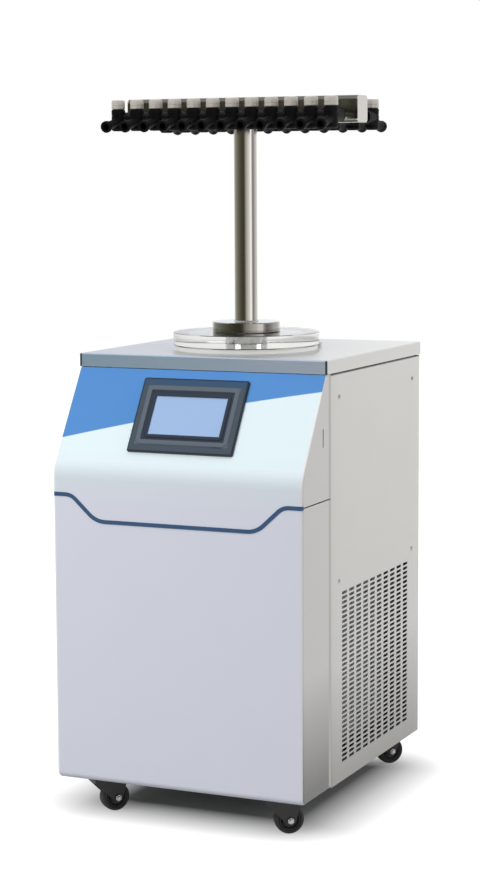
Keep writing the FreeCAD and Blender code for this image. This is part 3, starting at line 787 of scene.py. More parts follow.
@dataclass
class Form:
    """Points and faces of one or more closed shapes.

    Attributes:
        points: Array of places, one row each.
        faces: Arrays of point numbers, one per face size.
    """
    points: np.ndarray
    faces: list[np.ndarray]

    @classmethod
    def joined(cls, forms: Sequence["Form"]) -> "Form":
        """Several forms as one, each with its point numbers moved on.

        Args:
            forms: The forms, in order.

        Returns:
            The one form.
        """
        starts = np.cumsum([0] + [len(f.points) for f in forms[:-1]])
        faces = [face + start for f, start in zip(forms, starts) for face in f.faces]
        return cls(np.vstack([f.points for f in forms]), faces)

    def scaled(self, factors: Sequence[float]) -> "Form":
        """The form stretched along X, Y and Z, or mirrored by a negative factor."""
        return Form(self.points * np.asarray(factors, float), self.faces)

    def piece(self, name: str, smooth_to: float = 38.0) -> bpy.types.Object:
        """Make the object: doubles merged, faces outwards, gentle edges smooth.

        Args:
            name: The object's name.
            smooth_to: Edges sharper than this many degrees stay crisp.

        Returns:
            The object, at the origin.
        """
        mesh = bpy.data.meshes.new(name)
        faces = [face for block in self.faces for face in block.tolist()]
        mesh.from_pydata(self.points.tolist(), [], faces)
        work = bmesh.new()
        work.from_mesh(mesh)
        bmesh.ops.remove_doubles(work, verts=work.verts, dist=SAME_PLACE)
        bmesh.ops.recalc_face_normals(work, faces=work.faces)
        work.to_mesh(mesh)
        work.free()
        mesh.polygons.foreach_set("use_smooth", np.ones(len(mesh.polygons), bool))
        mesh.set_sharp_from_angle(angle=math.radians(smooth_to))
        made = bpy.data.objects.new(name, mesh)
        bpy.context.scene.collection.objects.link(made)
        return made


def skin(rings: np.ndarray, looped: bool = False) -> Form:
    """A closed form through rings of points.

    Point a of ring r, point a + 1, and the same two points of ring r + 1 make a four-sided face.

    Args:
        rings: Array of rings, points in a ring, and 3.
        looped: Whether the last ring joins the first, as in a tyre, in place of a flat face over each.

    Returns:
        The skin through the rings.
    """
    count, around = rings.shape[:2]
    number = np.arange(count * around).reshape(count, around)
    ahead = np.roll(number, -1, 1)
    sides = np.stack([number[:-1], ahead[:-1], ahead[1:], number[1:]], -1).reshape(-1, 4)
    closing = np.stack([number[-1], ahead[-1], ahead[0], number[0]], -1) if looped else number[[0, -1]]
    return Form(rings.reshape(-1, 3), [sides, closing])


def square_ways(axis: np.ndarray) -> tuple[np.ndarray, np.ndarray]:
    """Two directions square to an axis and to each other."""
    side = unit(np.cross(axis, (0.0, 0.0, 1.0) if abs(axis[2]) < 0.9 else (1.0, 0.0, 0.0)))
    return side, np.cross(axis, side)


def lathe(profile: Sequence[tuple[float, float]], foot: Sequence[float], along: Sequence[float],
          around: int = 32, wobble: Any = None, looped: bool = False) -> Form:
    """A profile turned about a line.

    The point at height h, radius r and angle a is foot + h * along + r * (cos a * side + sin a * other).

    Args:
        profile: Height and radius pairs along the line, in millimetres.
        foot: Where height is 0.
        along: Direction of the line.
        around: Points round the line.
        wobble: Optional function of height and angle that gives a factor for the radius.
        looped: Whether the profile's end joins its start.

    Returns:
        The closed form.
    """
    axis = unit(along)
    side, other = square_ways(axis)
    height, radius = np.asarray(profile, float).T * MM
    angle = np.arange(around) * math.tau / around
    reach = radius[:, None] * np.ones(around)
    if wobble is not None:
        reach = reach * wobble(height[:, None], angle[None, :])
    ring = np.cos(angle)[:, None] * side + np.sin(angle)[:, None] * other
    return skin(np.asarray(foot, float) + height[:, None, None] * axis + reach[..., None] * ring, looped)


def round_corners(wide: float, tall: float, radius: float, steps: int) -> tuple[np.ndarray, np.ndarray, np.ndarray]:
    """The four corner arcs of a rectangle, one after the other.

    Arc k runs from k to k + 1 quarter turns. Its point at angle a is its centre plus a radius times
    (cos a, sin a), and its centre is the rectangle's corner drawn in by the corners' radius.

    Args:
        wide: Half width.
        tall: Half height.
        radius: Radius of the corners.
        steps: Spaces along an arc.

    Returns:
        The angle of each point, and its arc's centre across and upwards.
    """
    angle = np.concatenate([np.linspace(0, math.pi / 2, steps + 1) + k * math.pi / 2 for k in range(4)])
    return (angle, np.repeat([1, -1, -1, 1], steps + 1) * (wide - radius),
            np.repeat([1, 1, -1, -1], steps + 1) * (tall - radius))


def rounded_box(half: Sequence[float], middle: Sequence[float], radius: float, steps: int = 3) -> Form:
    """A block with every edge rounded.

    Each ring is the outline with corners of the given radius; the first and last rings draw in along a
    quarter circle, so that the block's faces meet in round edges.

    Args:
        half: Half sizes along X, Y and Z.
        middle: Centre.
        radius: Radius of the edges.
        steps: Spaces along a quarter circle.

    Returns:
        The closed form.
    """
    quarter = np.linspace(0, math.pi / 2, steps + 1)
    draw = np.concatenate([np.sin(quarter), np.cos(quarter)])[:, None] * radius
    flat = half[2] - radius
    height = np.concatenate([-flat - radius * np.cos(quarter), flat + radius * np.sin(quarter)])
    angle, corner_x, corner_y = round_corners(half[0], half[1], radius, steps)
    x, y = corner_x + draw * np.cos(angle), corner_y + draw * np.sin(angle)
    return skin(np.stack([x, y, height[:, None] * np.ones_like(x)], -1) + np.asarray(middle, float))


# ------------------------------------------------------------- cabinet pieces


class Cell(Enum):
    """What a cell of a pierced sheet holds."""
    PLAIN = 0
    HOLE = 1
    SCREW = 2
    GONE = 3


@dataclass
class PiercedSheet:
    """A side sheet folded in at the front and rear, with rows of slots in its lower field.

    Attributes:
        name: Name of the piece.
        side: 1 on the operator's right, -1 on the left.
        thickness: Of the sheet.
        bend: Outer radius of the folds.
        bend_points: Points along a bend.
        fold: How far the folds reach inwards.
        column_pitch: From slot to slot along the depth.
        row_pitch: From slot to slot upwards.
        hole_half: Half width and half height of a slot.
        field_y: Front and rear end of the field of slots.
        field_z: Foot and top of it.
        screws_y: Where the screws are along the depth.
        screws_z: How high they are.
        screw_cell: Half width of the plain square round a screw.
        screw_hole: Radius of a screw's hole.
        fold_foot: Height where the front fold starts.
        corners: Points round a hole.
    """
    name: str
    side: int
    thickness: float = 1.5 * MM
    bend: float = 2.0 * MM
    bend_points: int = 5
    fold: float = 14 * MM
    column_pitch: float = 35.91 * MM
    row_pitch: float = 9.03 * MM
    hole_half: tuple[float, float] = (13.0 * MM, 3.0 * MM)
    field_y: tuple[float, float] = (-137.2 * MM, 221.9 * MM)
    field_z: tuple[float, float] = (104 * MM, 429 * MM)
    screws_y: tuple[float, float] = (-146.5 * MM, 239.5 * MM)
    screws_z: tuple[float, float] = (450 * MM, 790 * MM)
    screw_cell: float = 5 * MM
    screw_hole: float = 2.2 * MM
    fold_foot: float = 94 * MM
    corners: int = 12

    def lines(self, ends: tuple[float, ...], field: tuple[float, float], pitch: float,
              screws: Sequence[float]) -> tuple[np.ndarray, np.ndarray, np.ndarray]:
        """Grid lines along one direction of the flat skin.

        Args:
            ends: Where the skin starts and stops, and any further line it needs.
            field: Where the pierced field starts and stops.
            pitch: From slot to slot.
            screws: Where the screws are.

        Returns:
            The lines, and for the spaces between them whether each is in the field and whether it is a screw's.
        """
        count = round((field[1] - field[0]) / pitch)
        inner = np.linspace(field[0], field[1], count + 1)
        around = np.concatenate([(s - self.screw_cell, s + self.screw_cell) for s in screws])
        lines = np.unique(np.round(np.concatenate([ends, inner, around]), 7))
        middles = (lines[1:] + lines[:-1]) / 2
        in_field = (middles > field[0]) & (middles < field[1])
        on_screw = np.any([abs(middles - s) < self.screw_cell / 2 for s in screws], axis=0)
        return lines, in_field, on_screw

    def outline(self, low_y: float, high_y: float, face_x: float, lines: np.ndarray) -> tuple[np.ndarray, np.ndarray]:
        """The sheet's section seen from above: fold, bend, skin, bend, fold.

        A bend's points are its centre plus the radius times (cos a, sin a).

        Args:
            low_y: Front face of the front fold.
            high_y: Rear face of the rear fold.
            face_x: Outer face of the skin.
            lines: Grid lines along the skin.

        Returns:
            Places on the outer surface and the outward directions there.
        """
        angles = np.linspace(-math.pi / 2, 0, self.bend_points)
        front = np.stack([np.cos(angles), np.sin(angles)], -1)
        rear = front[::-1] * (1, -1)
        start = np.array([[face_x - self.fold, low_y]])
        stop = np.array([[face_x - self.fold, high_y]])
        flat = np.stack([np.full(len(lines) - 2, face_x), lines[1:-1]], -1)
        places = np.vstack([start, (face_x - self.bend, low_y + self.bend) + front * self.bend, flat,
                            (face_x - self.bend, high_y - self.bend) + rear * self.bend, stop])
        ways = np.vstack([[(0, -1)], front, np.tile((1.0, 0.0), (len(flat), 1)), rear, [(0, 1)]])
        return places, ways

    def build(self) -> bpy.types.Object:
        """Work out the whole sheet as arrays.

        Points lie on the outer surface at every crossing of the grid lines, and on the inner one at a
        thickness against the outward direction. A pierced cell has a ring of points on each surface, at its
        middle plus the hole's half sizes times (cos a, sin a), or as a slot where it is wider than high.

        Returns:
            The piece.
        """
        low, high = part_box("side_panel_right")
        y_lines, y_field, y_screw = self.lines((low.y + self.bend, high.y - self.bend), self.field_y,
                                               self.column_pitch, self.screws_y)
        z_lines, z_field, z_screw = self.lines((low.z, self.fold_foot, high.z), self.field_z, self.row_pitch,
                                               self.screws_z)
        places, ways = self.outline(low.y, high.y, high.x, y_lines)
        kinds = np.full((len(places) - 1, len(z_lines) - 1), Cell.PLAIN.value)
        skin_cells = slice(self.bend_points, self.bend_points + len(y_field))
        kinds[skin_cells][np.ix_(y_field, z_field)] = Cell.HOLE.value
        kinds[skin_cells][np.ix_(y_screw, z_screw)] = Cell.SCREW.value
        kinds[0, z_lines[1:] < self.fold_foot + self.thickness] = Cell.GONE.value

        def surface(depth: float) -> np.ndarray:
            """Points at every crossing of the grid lines.

            Args:
                depth: How far they lie under the outer surface.

            Returns:
                Array of places along the section, heights, and 3.
            """
            plan = places - ways * depth
            return np.concatenate([np.repeat(plan[:, None, :], len(z_lines), 1),
                                   np.tile(z_lines[None, :, None], (len(plan), 1, 1))], -1)

        outer, inner = surface(0.0), surface(self.thickness)
        columns = len(z_lines)
        per_side = len(places) * columns
        points = [outer.reshape(-1, 3), inner.reshape(-1, 3)]
        number = np.arange(per_side).reshape(len(places), columns)
        a, b, c, d = number[:-1, :-1], number[1:, :-1], number[1:, 1:], number[:-1, 1:]
        plain = kinds == Cell.PLAIN.value
        quads = np.stack([a[plain], b[plain], c[plain], d[plain]], -1)
        blocks = [quads, quads[:, ::-1] + per_side]
        blocks += self.rims(kinds != Cell.GONE.value, number, per_side)
        start = 2 * per_side
        for kind, half in ((Cell.HOLE, self.hole_half), (Cell.SCREW, (self.screw_hole, self.screw_hole))):
            chosen = kinds == kind.value
            cell_corners = np.stack([b[chosen], c[chosen], d[chosen], a[chosen]], -1)
            middles = outer.reshape(-1, 3)[cell_corners].mean(1)
            new_points, new_blocks = self.holes(middles, cell_corners, half, per_side, start)
            points += new_points
            blocks += new_blocks
            start += sum(len(p) for p in new_points)
        form = Form(np.vstack(points), blocks)
        return form.scaled((self.side, 1, 1)).piece(self.name, smooth_to=42)

    @staticmethod
    def rims(there: np.ndarray, number: np.ndarray, per_side: int) -> list[np.ndarray]:
        """Faces through the thickness wherever a cell has no neighbour.

        Args:
            there: Which cells exist.
            number: Point numbers of the outer surface.
            per_side: Points on one surface.

        Returns:
            Blocks of four-sided faces.
        """
        padded = np.pad(there, 1)
        across = padded[1:, 1:-1] != padded[:-1, 1:-1]
        along = padded[1:-1, 1:] != padded[1:-1, :-1]
        first, second = number[:, :-1][across], number[:, 1:][across]
        third, fourth = number[:-1, :][along], number[1:, :][along]
        return [np.stack([p, q, q + per_side, p + per_side], -1) for p, q in ((first, second), (third, fourth))]

    def holes(self, middles: np.ndarray, cell_corners: np.ndarray, half: tuple[float, float],
              per_side: int, start: int) -> tuple[list[np.ndarray], list[np.ndarray]]:
        """Rings of hole points with the faces that join them to their cells.

        Args:
            middles: Middle of each cell.
            cell_corners: Point numbers of each cell's corners, from the rear lower one round.
            half: Half width and half height of the hole.
            per_side: Points on one surface.
            start: Number that the first new point gets.

        Returns:
            The new points, and the new faces.
        """
        turn = math.pi / 4 - np.arange(self.corners) * math.tau / self.corners
        tight = min(half)
        wide = np.sign(np.round(np.cos(turn), 6)) * (half[0] - tight)
        tall = np.sign(np.round(np.sin(turn), 6)) * (half[1] - tight)
        ring = np.stack([np.zeros(self.corners), wide + tight * np.cos(turn), tall + tight * np.sin(turn)], -1)
        outer = middles[:, None, :] + ring
        inner = outer - (self.thickness, 0, 0)
        count = len(middles) * self.corners
        index = start + np.arange(count).reshape(-1, self.corners)
        ahead = np.roll(index, -1, 1)
        walls = np.stack([index, ahead, ahead + count, index + count], -1).reshape(-1, 4)
        blocks = [walls]
        step = self.corners // 4
        rows = np.arange(step + 1)
        for quarter in range(4):
            # hole points run clockwise from the rear upper corner, so quarter 0 is the rear side
            part = index[:, (quarter * step + rows) % self.corners]
            near, far = cell_corners[:, (1 - quarter) % 4], cell_corners[:, (0 - quarter) % 4]
            front = np.concatenate([part, far[:, None], near[:, None]], 1)
            back = np.concatenate([part + count, far[:, None] + per_side, near[:, None] + per_side], 1)
            blocks += [front, back[:, ::-1]]
        return [outer.reshape(-1, 3), inner.reshape(-1, 3)], blocks


@dataclass
class Screws:
    """Pan-head screws with a crossed recess, on both sides and the back.

    Attributes:
        head: Radius of the head.
        dome: Height of the head.
        shank: Radius under the head.
        length: Length under the head.
        wing: Half width of the recess.
        reach: How far the recess reaches from the middle.
        deep: Depth of the recess.
        sag: How strongly the dome falls towards the head's edge.
        rim: Share of the dome's height where the head's edge starts.
        flank: Width of the sloping sides of the recess.
        flank_end: Width of its sloping ends.
        around: Points round a screw.
        first: Angle of the first of them.
        back_x: How far the back's screws are from the middle plane.
        back_foot: Height of the lowest of them.
    """
    head: float = 4.5 * MM
    dome: float = 1.8 * MM
    shank: float = 2 * MM
    length: float = 8 * MM
    wing: float = 0.55 * MM
    reach: float = 2.6 * MM
    deep: float = 1.1 * MM
    sag: float = 0.8
    rim: float = 0.3
    flank: float = 0.15 * MM
    flank_end: float = 0.3 * MM
    around: int = 48
    first: float = 0.4
    back_x: float = 242 * MM
    back_foot: float = 110 * MM

    def one(self, place: Point, outward: Point) -> Form:
        """A screw.

        The head is a fan of rings: at share s of its radius the surface stands dome * sqrt(1 - s^4 * sag), less
        the recess, which has full depth where the distance to the nearer arm is under the wing.

        Args:
            place: Middle of the head's seat.
            outward: The way the head faces.

        Returns:
            The closed form.
        """
        axis = unit(outward)
        side, other = square_ways(axis)
        angle = np.arange(self.around) * math.tau / self.around + self.first
        share = np.array([1.0, 0.97, 0.9, 0.78, 0.68, 0.6, 0.55, 0.45, 0.3, 0.15, 0.04])
        level = share[:, None] * self.head * np.cos(angle)
        along = share[:, None] * self.head * np.sin(angle)
        near_arm = np.minimum(abs(level), abs(along))
        in_arm = np.clip((self.wing - near_arm) / self.flank + 0.5, 0, 1)
        in_reach = np.clip((self.reach - share * self.head) / self.flank_end + 0.5, 0, 1)[:, None]
        height = self.dome * np.sqrt(1 - self.sag * share ** 4)[:, None] - self.deep * in_arm * in_reach
        top = level[..., None] * side + along[..., None] * other + height[..., None] * axis
        ring = np.cos(angle)[:, None] * side + np.sin(angle)[:, None] * other
        under = np.stack([ring * self.shank - axis * self.length, ring * self.shank, ring * self.head,
                          ring * self.head + axis * (self.rim * self.dome)])
        return skin(np.concatenate([under, top]) + np.asarray(place, float))

    def build(self) -> bpy.types.Object:
        """All screws as one piece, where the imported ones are.

        Returns:
            The piece.
        """
        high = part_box("panel_screws")[1]
        face_x, face_y = high.x - self.dome, high.y - self.dome
        sheet = PiercedSheet("", 1)
        places = [((side * face_x, y, z), (side, 0, 0)) for side in (1, -1) for y in sheet.screws_y
                  for z in sheet.screws_z]
        places += [((side * self.back_x, face_y, z), (0, 1, 0)) for side in (1, -1)
                   for z in (self.back_foot, *sheet.screws_z)]
        return Form.joined([self.one(place, way) for place, way in places]).piece("panel_screw_set", smooth_to=30)


@dataclass(frozen=True)
class Border:
    """A low moulding round a rectangle with round corners.

    Attributes:
        name: Name of the piece.
        wide: Half width of the moulding's middle line.
        tall: Half height of that line.
        thick: Half thickness of the section.
        lift: How far the section's middle stands off the slope.
        radius: Corner radius of the middle line.
        height: Half height of the section.
    """
    name: str
    wide: float
    tall: float
    thick: float
    lift: float
    radius: float
    height: float


@dataclass
class ScreenSurround:
    """The dark border round the display, a raised frame, and three small lamps at the lower right.

    Attributes:
        borders: The display's border and the raised frame.
        lamps_x: Where the lamps are across the panel.
        lamps_up: How far up the slope they are from its middle.
        lamps_out: How far their seats stand off the slope.
        around: Points round a moulding's section.
    """
    borders: tuple[Border, ...] = (
        Border("screen_border", 75.2 * MM, 42.1 * MM, 3.2 * MM, 4.6 * MM, 3.4 * MM, 0.8 * MM),
        Border("panel_frame", 88.2 * MM, 55.1 * MM, 4.6 * MM, 5.0 * MM, 8 * MM, 1.2 * MM))
    lamps_x: tuple[float, ...] = (66 * MM, 72 * MM, 78 * MM)
    lamps_up: float = -61 * MM
    lamps_out: float = 5 * MM
    around: int = 24

    @staticmethod
    def on_slope(level: np.ndarray, up: np.ndarray, out: np.ndarray) -> np.ndarray:
        """Places given on the slope turned into the machine's own directions.

        Args:
            level: How far they are to the operator's right of the panel's middle.
            up: How far up the slope.
            out: How far off the slope.

        Returns:
            The places.
        """
        up_way = np.array([0, math.sin(PANEL_TILT), math.cos(PANEL_TILT)])
        out_way = np.array([0, -math.cos(PANEL_TILT), math.sin(PANEL_TILT)])
        return (np.asarray(PANEL_CENTRE) + level[..., None] * np.array([1.0, 0, 0])
                + up[..., None] * up_way + out[..., None] * out_way)

    def ring(self, border: Border) -> bpy.types.Object:
        """A low flat-topped section carried round a rectangle with round corners.

        The corner arcs are the corner centre plus the radius times (cos a, sin a). The section is a
        superellipse, whose width and height follow the cosine and sine of its turn to the power 0.5.

        Args:
            border: The moulding's name and sizes.

        Returns:
            The piece.
        """
        angle, corner_x, corner_y = round_corners(border.wide, border.tall, border.radius, steps=6)
        turn = np.arange(self.around) * math.tau / self.around
        flat, proud = (np.sign(w) * np.abs(w) ** 0.5 for w in (np.cos(turn), np.sin(turn)))
        reach = border.radius + border.thick * flat[None, :]
        level = corner_x[:, None] + reach * np.cos(angle)[:, None]
        up = corner_y[:, None] + reach * np.sin(angle)[:, None] + DISPLAY_RISE
        out = border.lift + border.height * proud[None, :] * np.ones_like(level)
        return skin(self.on_slope(level, up, out), looped=True).piece(border.name, smooth_to=50)

    def lamps(self) -> bpy.types.Object:
        """Three small domes, each a lathe about the slope's outward direction.

        Returns:
            The piece.
        """
        profile = [(-0.6, 1.3), (0.25, 1.3), (0.5, 1.1), (0.7, 0.6), (0.75, 0.05)]
        level = np.array(self.lamps_x)
        feet = self.on_slope(level, np.full_like(level, self.lamps_up), np.full_like(level, self.lamps_out))
        way = (0.0, -math.cos(PANEL_TILT), math.sin(PANEL_TILT))
        return Form.joined([lathe(profile, foot, way, around=16) for foot in feet]).piece("panel_lamps")

    def build(self, shop: Shop) -> None:
        """Make and dress the borders and the lamps.

        Args:
            shop: Where the finishes come from.
        """
        for border in self.borders:
            shop.dress(self.ring(border), "bezel_plastic")
        shop.dress(self.lamps(), "black_plastic")


# ------------------------------------------------------------ manifold pieces


@dataclass
class Valve:
    """Sizes of one valve of the manifold: rubber body and turning grip.

    Attributes:
        low: Height of the barrel's foot.
        high: Height of the barrel's top.
        offset: Distance of the barrel's axis from the middle plane.
        collar: Radius of the collar over the stub.
        collar_end: Where the collar starts.
        collar_short: How far from the barrel's axis it ends.
        stub_height: Height of the stub's axis.
        nozzle_height: Height where the nozzle's axis meets the barrel's.
        tilt: How far the nozzle points down, in radians.
        grip: Half the grip's size across its flats.
        grip_height: Height of the grip.
        grip_gap: Space between the barrel and the grip.
        grip_crisp: The power of the mean that shapes its corners.
        grip_fade: How far under its top the flats start to turn round.
        pointer_half: Half sizes of the pointer.
        pointer_out: How far its middle is from the grip's axis.
        pointer_sunk: How far its middle is under the grip's top.
    """
    low: float = 1274 * MM
    high: float = 1314.5 * MM
    offset: float = 103 * MM
    collar: float = 12.4 * MM
    collar_end: float = 62 * MM
    collar_short: float = 6 * MM
    stub_height: float = 1298 * MM
    nozzle_height: float = 1291.85 * MM
    tilt: float = math.radians(12)
    grip: float = 12 * MM
    grip_height: float = 17.2 * MM
    grip_gap: float = 0.3 * MM
    grip_crisp: int = 46
    grip_fade: float = 3 * MM
    pointer_half: Point = (0.9 * MM, 3.4 * MM, 0.7 * MM)
    pointer_out: float = 2.6 * MM
    pointer_sunk: float = 0.8 * MM

    def body(self, x: float, side: int) -> Form:
        """Barrel, nozzle and collar, each a lathe with moulded beads.

        Args:
            x: Where the valve is along the manifold.
            side: -1 in front, 1 behind.

        Returns:
            The closed forms.
        """
        y = side * self.offset
        barrel = [(0, 0), (0, 9), (0.6, 11.2), (2.2, 12.6), (4.5, 13), (6, 13), (6.6, 12.5), (8, 12.5), (8.6, 13),
                  (24, 13), (24.6, 12.4), (26, 12.4), (26.6, 13), (33.6, 13), (35, 12.5), (35.7, 11.4),
                  (35.7, 6.5), (34.9, 5.6), (34.9, 2.6), (35.2, 0)]
        stretch = (self.high - self.low) / (max(barrel)[0] * MM)
        upright = lathe([(h * stretch, r) for h, r in barrel], (x, y, self.low), (0, 0, 1), around=36)
        spout = [(8, 0), (8, 9.6), (11, 9.4), (13.5, 8.7), (16.5, 8.1), (24, 7.9), (34, 8.3), (41, 8.9), (45, 9.4),
                 (46.2, 10.6), (48, 11), (52.4, 11), (53.6, 10.4), (54, 9.4), (53.7, 7.2), (52.6, 6.2), (50, 5.8),
                 (38, 5.4), (37.6, 0)]
        way = (0, side * math.cos(self.tilt), -math.sin(self.tilt))
        nozzle = lathe(spout, (x, y, self.nozzle_height), way, around=32)
        end, wide = (self.offset - self.collar_end - self.collar_short) / MM, self.collar / MM
        sleeve = [(0, 6.1), (0, wide - 0.6), (0.6, wide), (3.4, wide), (4.2, wide - 0.6), (5.6, wide - 0.6),
                  (6.6, wide - 0.3), (10, wide - 0.1), (13, wide), (end, wide), (end, 0)]
        collar = lathe(sleeve, (x, side * self.collar_end, self.stub_height), (0, side, 0), around=28)
        return Form.joined([upright, nozzle, collar])

    def handle(self, x: float, side: int) -> Form:
        """The eight-sided grip with rounded corners, a dished top and a pointer, on its stem.

        The outline's radius at angle a is the flats' distance divided by the power mean of the cosines of
        the angles to the eight flats, so that a high power gives crisp corners. The height profile scales it.

        Args:
            x: Where the valve is along the manifold.
            side: -1 in front, 1 behind.

        Returns:
            The closed forms.
        """
        y = side * self.offset
        flats = np.arange(8) * math.tau / 8

        def outline(height: np.ndarray, angle: np.ndarray) -> np.ndarray:
            """Eight flats above the stem, round again towards the top.

            Args:
                height: Heights above the grip's foot.
                angle: Angles about its axis.

            Returns:
                A factor for the radius.
            """
            facing = np.clip(np.cos(angle[..., None] - flats), 0, 1)
            octagon = 1 / (facing ** self.grip_crisp).sum(-1) ** (1 / self.grip_crisp)
            flat = np.clip((self.grip_height - height) / self.grip_fade, 0, 1)
            return np.where(height > 0, 1 + (octagon - 1) * flat, 1.0)

        size, tall = self.grip / MM, self.grip_height / MM
        section = [(-11, 0), (-11, 2.5), (0.05, 2.5), (0.06, size - 1.6), (0.5, size - 0.5), (1.4, size),
                   (5.6, size), (6, size - 0.45), (6.8, size - 0.45), (7.2, size), (tall - 2.2, size),
                   (tall - 0.9, size - 0.4), (tall - 0.2, size - 1.4), (tall, size - 2.6), (tall, size - 4),
                   (tall - 0.8, size - 4.8), (tall - 1.2, size - 6), (tall - 1.2, 0)]
        foot = (x, y, self.high + self.grip_gap)
        grip = lathe(section, foot, (0, 0, 1), around=64, wobble=outline)
        middle = (x, y + side * self.pointer_out, foot[2] + self.grip_height - self.pointer_sunk)
        pointer = rounded_box(self.pointer_half, middle, radius=0.4 * MM, steps=2)
        return Form.joined([grip, pointer])


@dataclass
class Manifold:
    """Header, column and the two rows of valves.

    Attributes:
        valve: Sizes of each valve.
        ports: Valves in a row.
        pitch: From valve to valve.
        ripples: Waves round a weld.
        ripple_share: How much a wave adds to the radius, as a share of it.
    """
    valve: Valve
    ports: int = 12
    pitch: float = 39.5 * MM
    ripples: int = 90
    ripple_share: float = 0.008

    def places(self) -> list[tuple[int, float, int]]:
        """Number, place along the manifold and side of every valve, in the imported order."""
        spots = [(x, side) for side in (-1, 1) for x in (np.arange(self.ports) - (self.ports - 1) / 2) * self.pitch]
        return [(number, float(x), side) for number, (x, side) in enumerate(spots, 1)]

    def bodies(self, shop: Shop) -> None:
        """The rubber bodies, one piece for each row.

        Args:
            shop: Where the finishes come from.
        """
        for side, name in ((-1, "valve_rubber_front"), (1, "valve_rubber_back")):
            forms = [self.valve.body(x, s) for _, x, s in self.places() if s == side]
            row = shop.dress(Form.joined(forms).piece(name), "valve_rubber")
            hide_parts("valve_bodies")

    def grips(self, shop: Shop) -> None:
        """The turning grips, each on its own body.

        Args:
            shop: Where the finishes come from.
        """
        for number, x, side in self.places():
            grip = self.valve.handle(x, side).piece(f"valve_grip_{number:02d}", smooth_to=24)
            shop.dress(grip, "knob_plastic", f"knob_{number:02d}")
            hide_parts(f"valve_knob_{number:02d}")

    def welds(self, shop: Shop) -> None:
        """Ring welds at the column's top and foot, rippled along their length.

        A weld's radius is the column's plus its section, times 1 + share * cos(ripples * a) at angle a.

        Args:
            shop: Where the finishes come from.
        """
        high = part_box("column_tube")[1]

        def ripple(height: np.ndarray, angle: np.ndarray) -> np.ndarray:
            """Slight waves of the radius."""
            return 1 + self.ripple_share * np.cos(angle * self.ripples) * np.ones_like(height)

        upper = [(-2.2, -0.3), (-1.9, 0.35), (-1.2, 1.1), (-0.5, 1.9), (-0.02, 2.3), (-0.02, -0.3)]
        lower = [(0.02, -0.3), (0.02, 2.0), (0.5, 1.6), (1.1, 0.9), (1.8, 0.3), (2.0, -0.3)]
        flange_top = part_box("column_flange")[1].z
        for name, section, height in (("column_weld_upper", upper, high.z), ("column_weld_lower", lower, flange_top)):
            around_column = [(h, high.x / MM + r) for h, r in section]
            bead = lathe(around_column, (0, 0, height), (0, 0, 1), around=360, wobble=ripple, looped=True)
            shop.dress(bead.piece(name, smooth_to=60), "polished_steel")

    def build(self, shop: Shop) -> None:
        """Make every piece of the manifold.

        Args:
            shop: Where the finishes come from.
        """
        self.bodies(shop)
        self.grips(shop)
        self.welds(shop)


# -------------------------------------------------------------- caster pieces


@dataclass
class Caster:
    """Wheel, hub and axle nuts of one caster.

    Attributes:
        corner: Which corner of the cabinet.
        nut_crown: Where a nut's flats start and end, from the wheel's middle outwards.
        nut_size: Factor from the listed radius to half the size across the flats.
    """
    corner: str
    nut_crown: tuple[float, float] = (17.2 * MM, 21.25 * MM)
    nut_size: float = 0.9

    def axle(self) -> tuple[np.ndarray, np.ndarray]:
        """Middle of the wheel and the direction of its axle."""
        joint = next(j for j in frame["joints"] if j["name"] == "roll_" + self.corner)
        return np.array(joint["pos_m"]), unit(joint["axis"])

    def build(self, shop: Shop) -> None:
        """Make the tread, the hub and the nuts.

        Args:
            shop: Where the finishes come from.
        """
        middle, along = self.axle()
        body = "wheel_" + self.corner
        tread = [(-10.4, 19.5), (-12, 21.2), (-12, 23.6), (-11.2, 25.2), (-9.6, 26.4), (-6, 26.9), (0, 27),
                 (6, 26.9), (9.6, 26.4), (11.2, 25.2), (12, 23.6), (12, 21.2), (10.4, 19.5)]
        ring = lathe(tread, middle, along, around=64, looped=True).piece("caster_tread_" + self.corner)
        shop.dress(ring, "tread_rubber", body)
        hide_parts("caster_wheel_" + self.corner)
        half = [(0, 19.6), (10.4, 19.6), (11.2, 19.0), (11.2, 17.4), (8.6, 15.8), (7.4, 13), (7.4, 10), (9, 8.4),
                (11.6, 7.6), (11.9, 7), (11.9, 4.3)]
        section = [(-h, r) for h, r in half[:0:-1]] + half
        hub = lathe(section, middle, along, around=48, looped=True).piece("caster_hub_" + self.corner)
        shop.dress(hub, "black_plastic", body)
        nut = [(17.05, 3.9), (17.05, 5.8), (17.5, 6.1), (20.6, 6.1), (21.2, 5.7), (21.3, 4.7), (22.9, 4.3),
               (23.9, 3.1), (24.2, 0)]
        nuts = [lathe(nut, middle, along * way, around=48, wobble=self.hexagon) for way in (-1, 1)]
        pair = Form.joined(nuts).piece("caster_nuts_" + self.corner, smooth_to=25)
        shop.dress(pair, "screw_steel", "swivel_" + self.corner)

    def hexagon(self, height: np.ndarray, angle: np.ndarray) -> np.ndarray:
        """A nut's outline, six-sided at its crown and round beyond.

        On the flats, the radius is divided by the cosine of the angle to the nearest flat's middle.

        Args:
            height: Distances from the wheel's middle.
            angle: Angles about the axle.

        Returns:
            A factor for the radius.
        """
        part = (angle + math.pi / 6) % (math.pi / 3) - math.pi / 6
        crown = (height > self.nut_crown[0]) & (height < self.nut_crown[1])
        return np.where(crown, self.nut_size / np.cos(part), self.nut_size)


# --------------------------------------------------------------------- studio


@dataclass(frozen=True)
class Lamp:
    """A rectangular soft light.

    Attributes:
        name: The lamp's name.
        place: Where it hangs.
        size: Its width and height.
        power: In watts.
    """
    name: str
    place: Point
    size: tuple[float, float]
    power: float


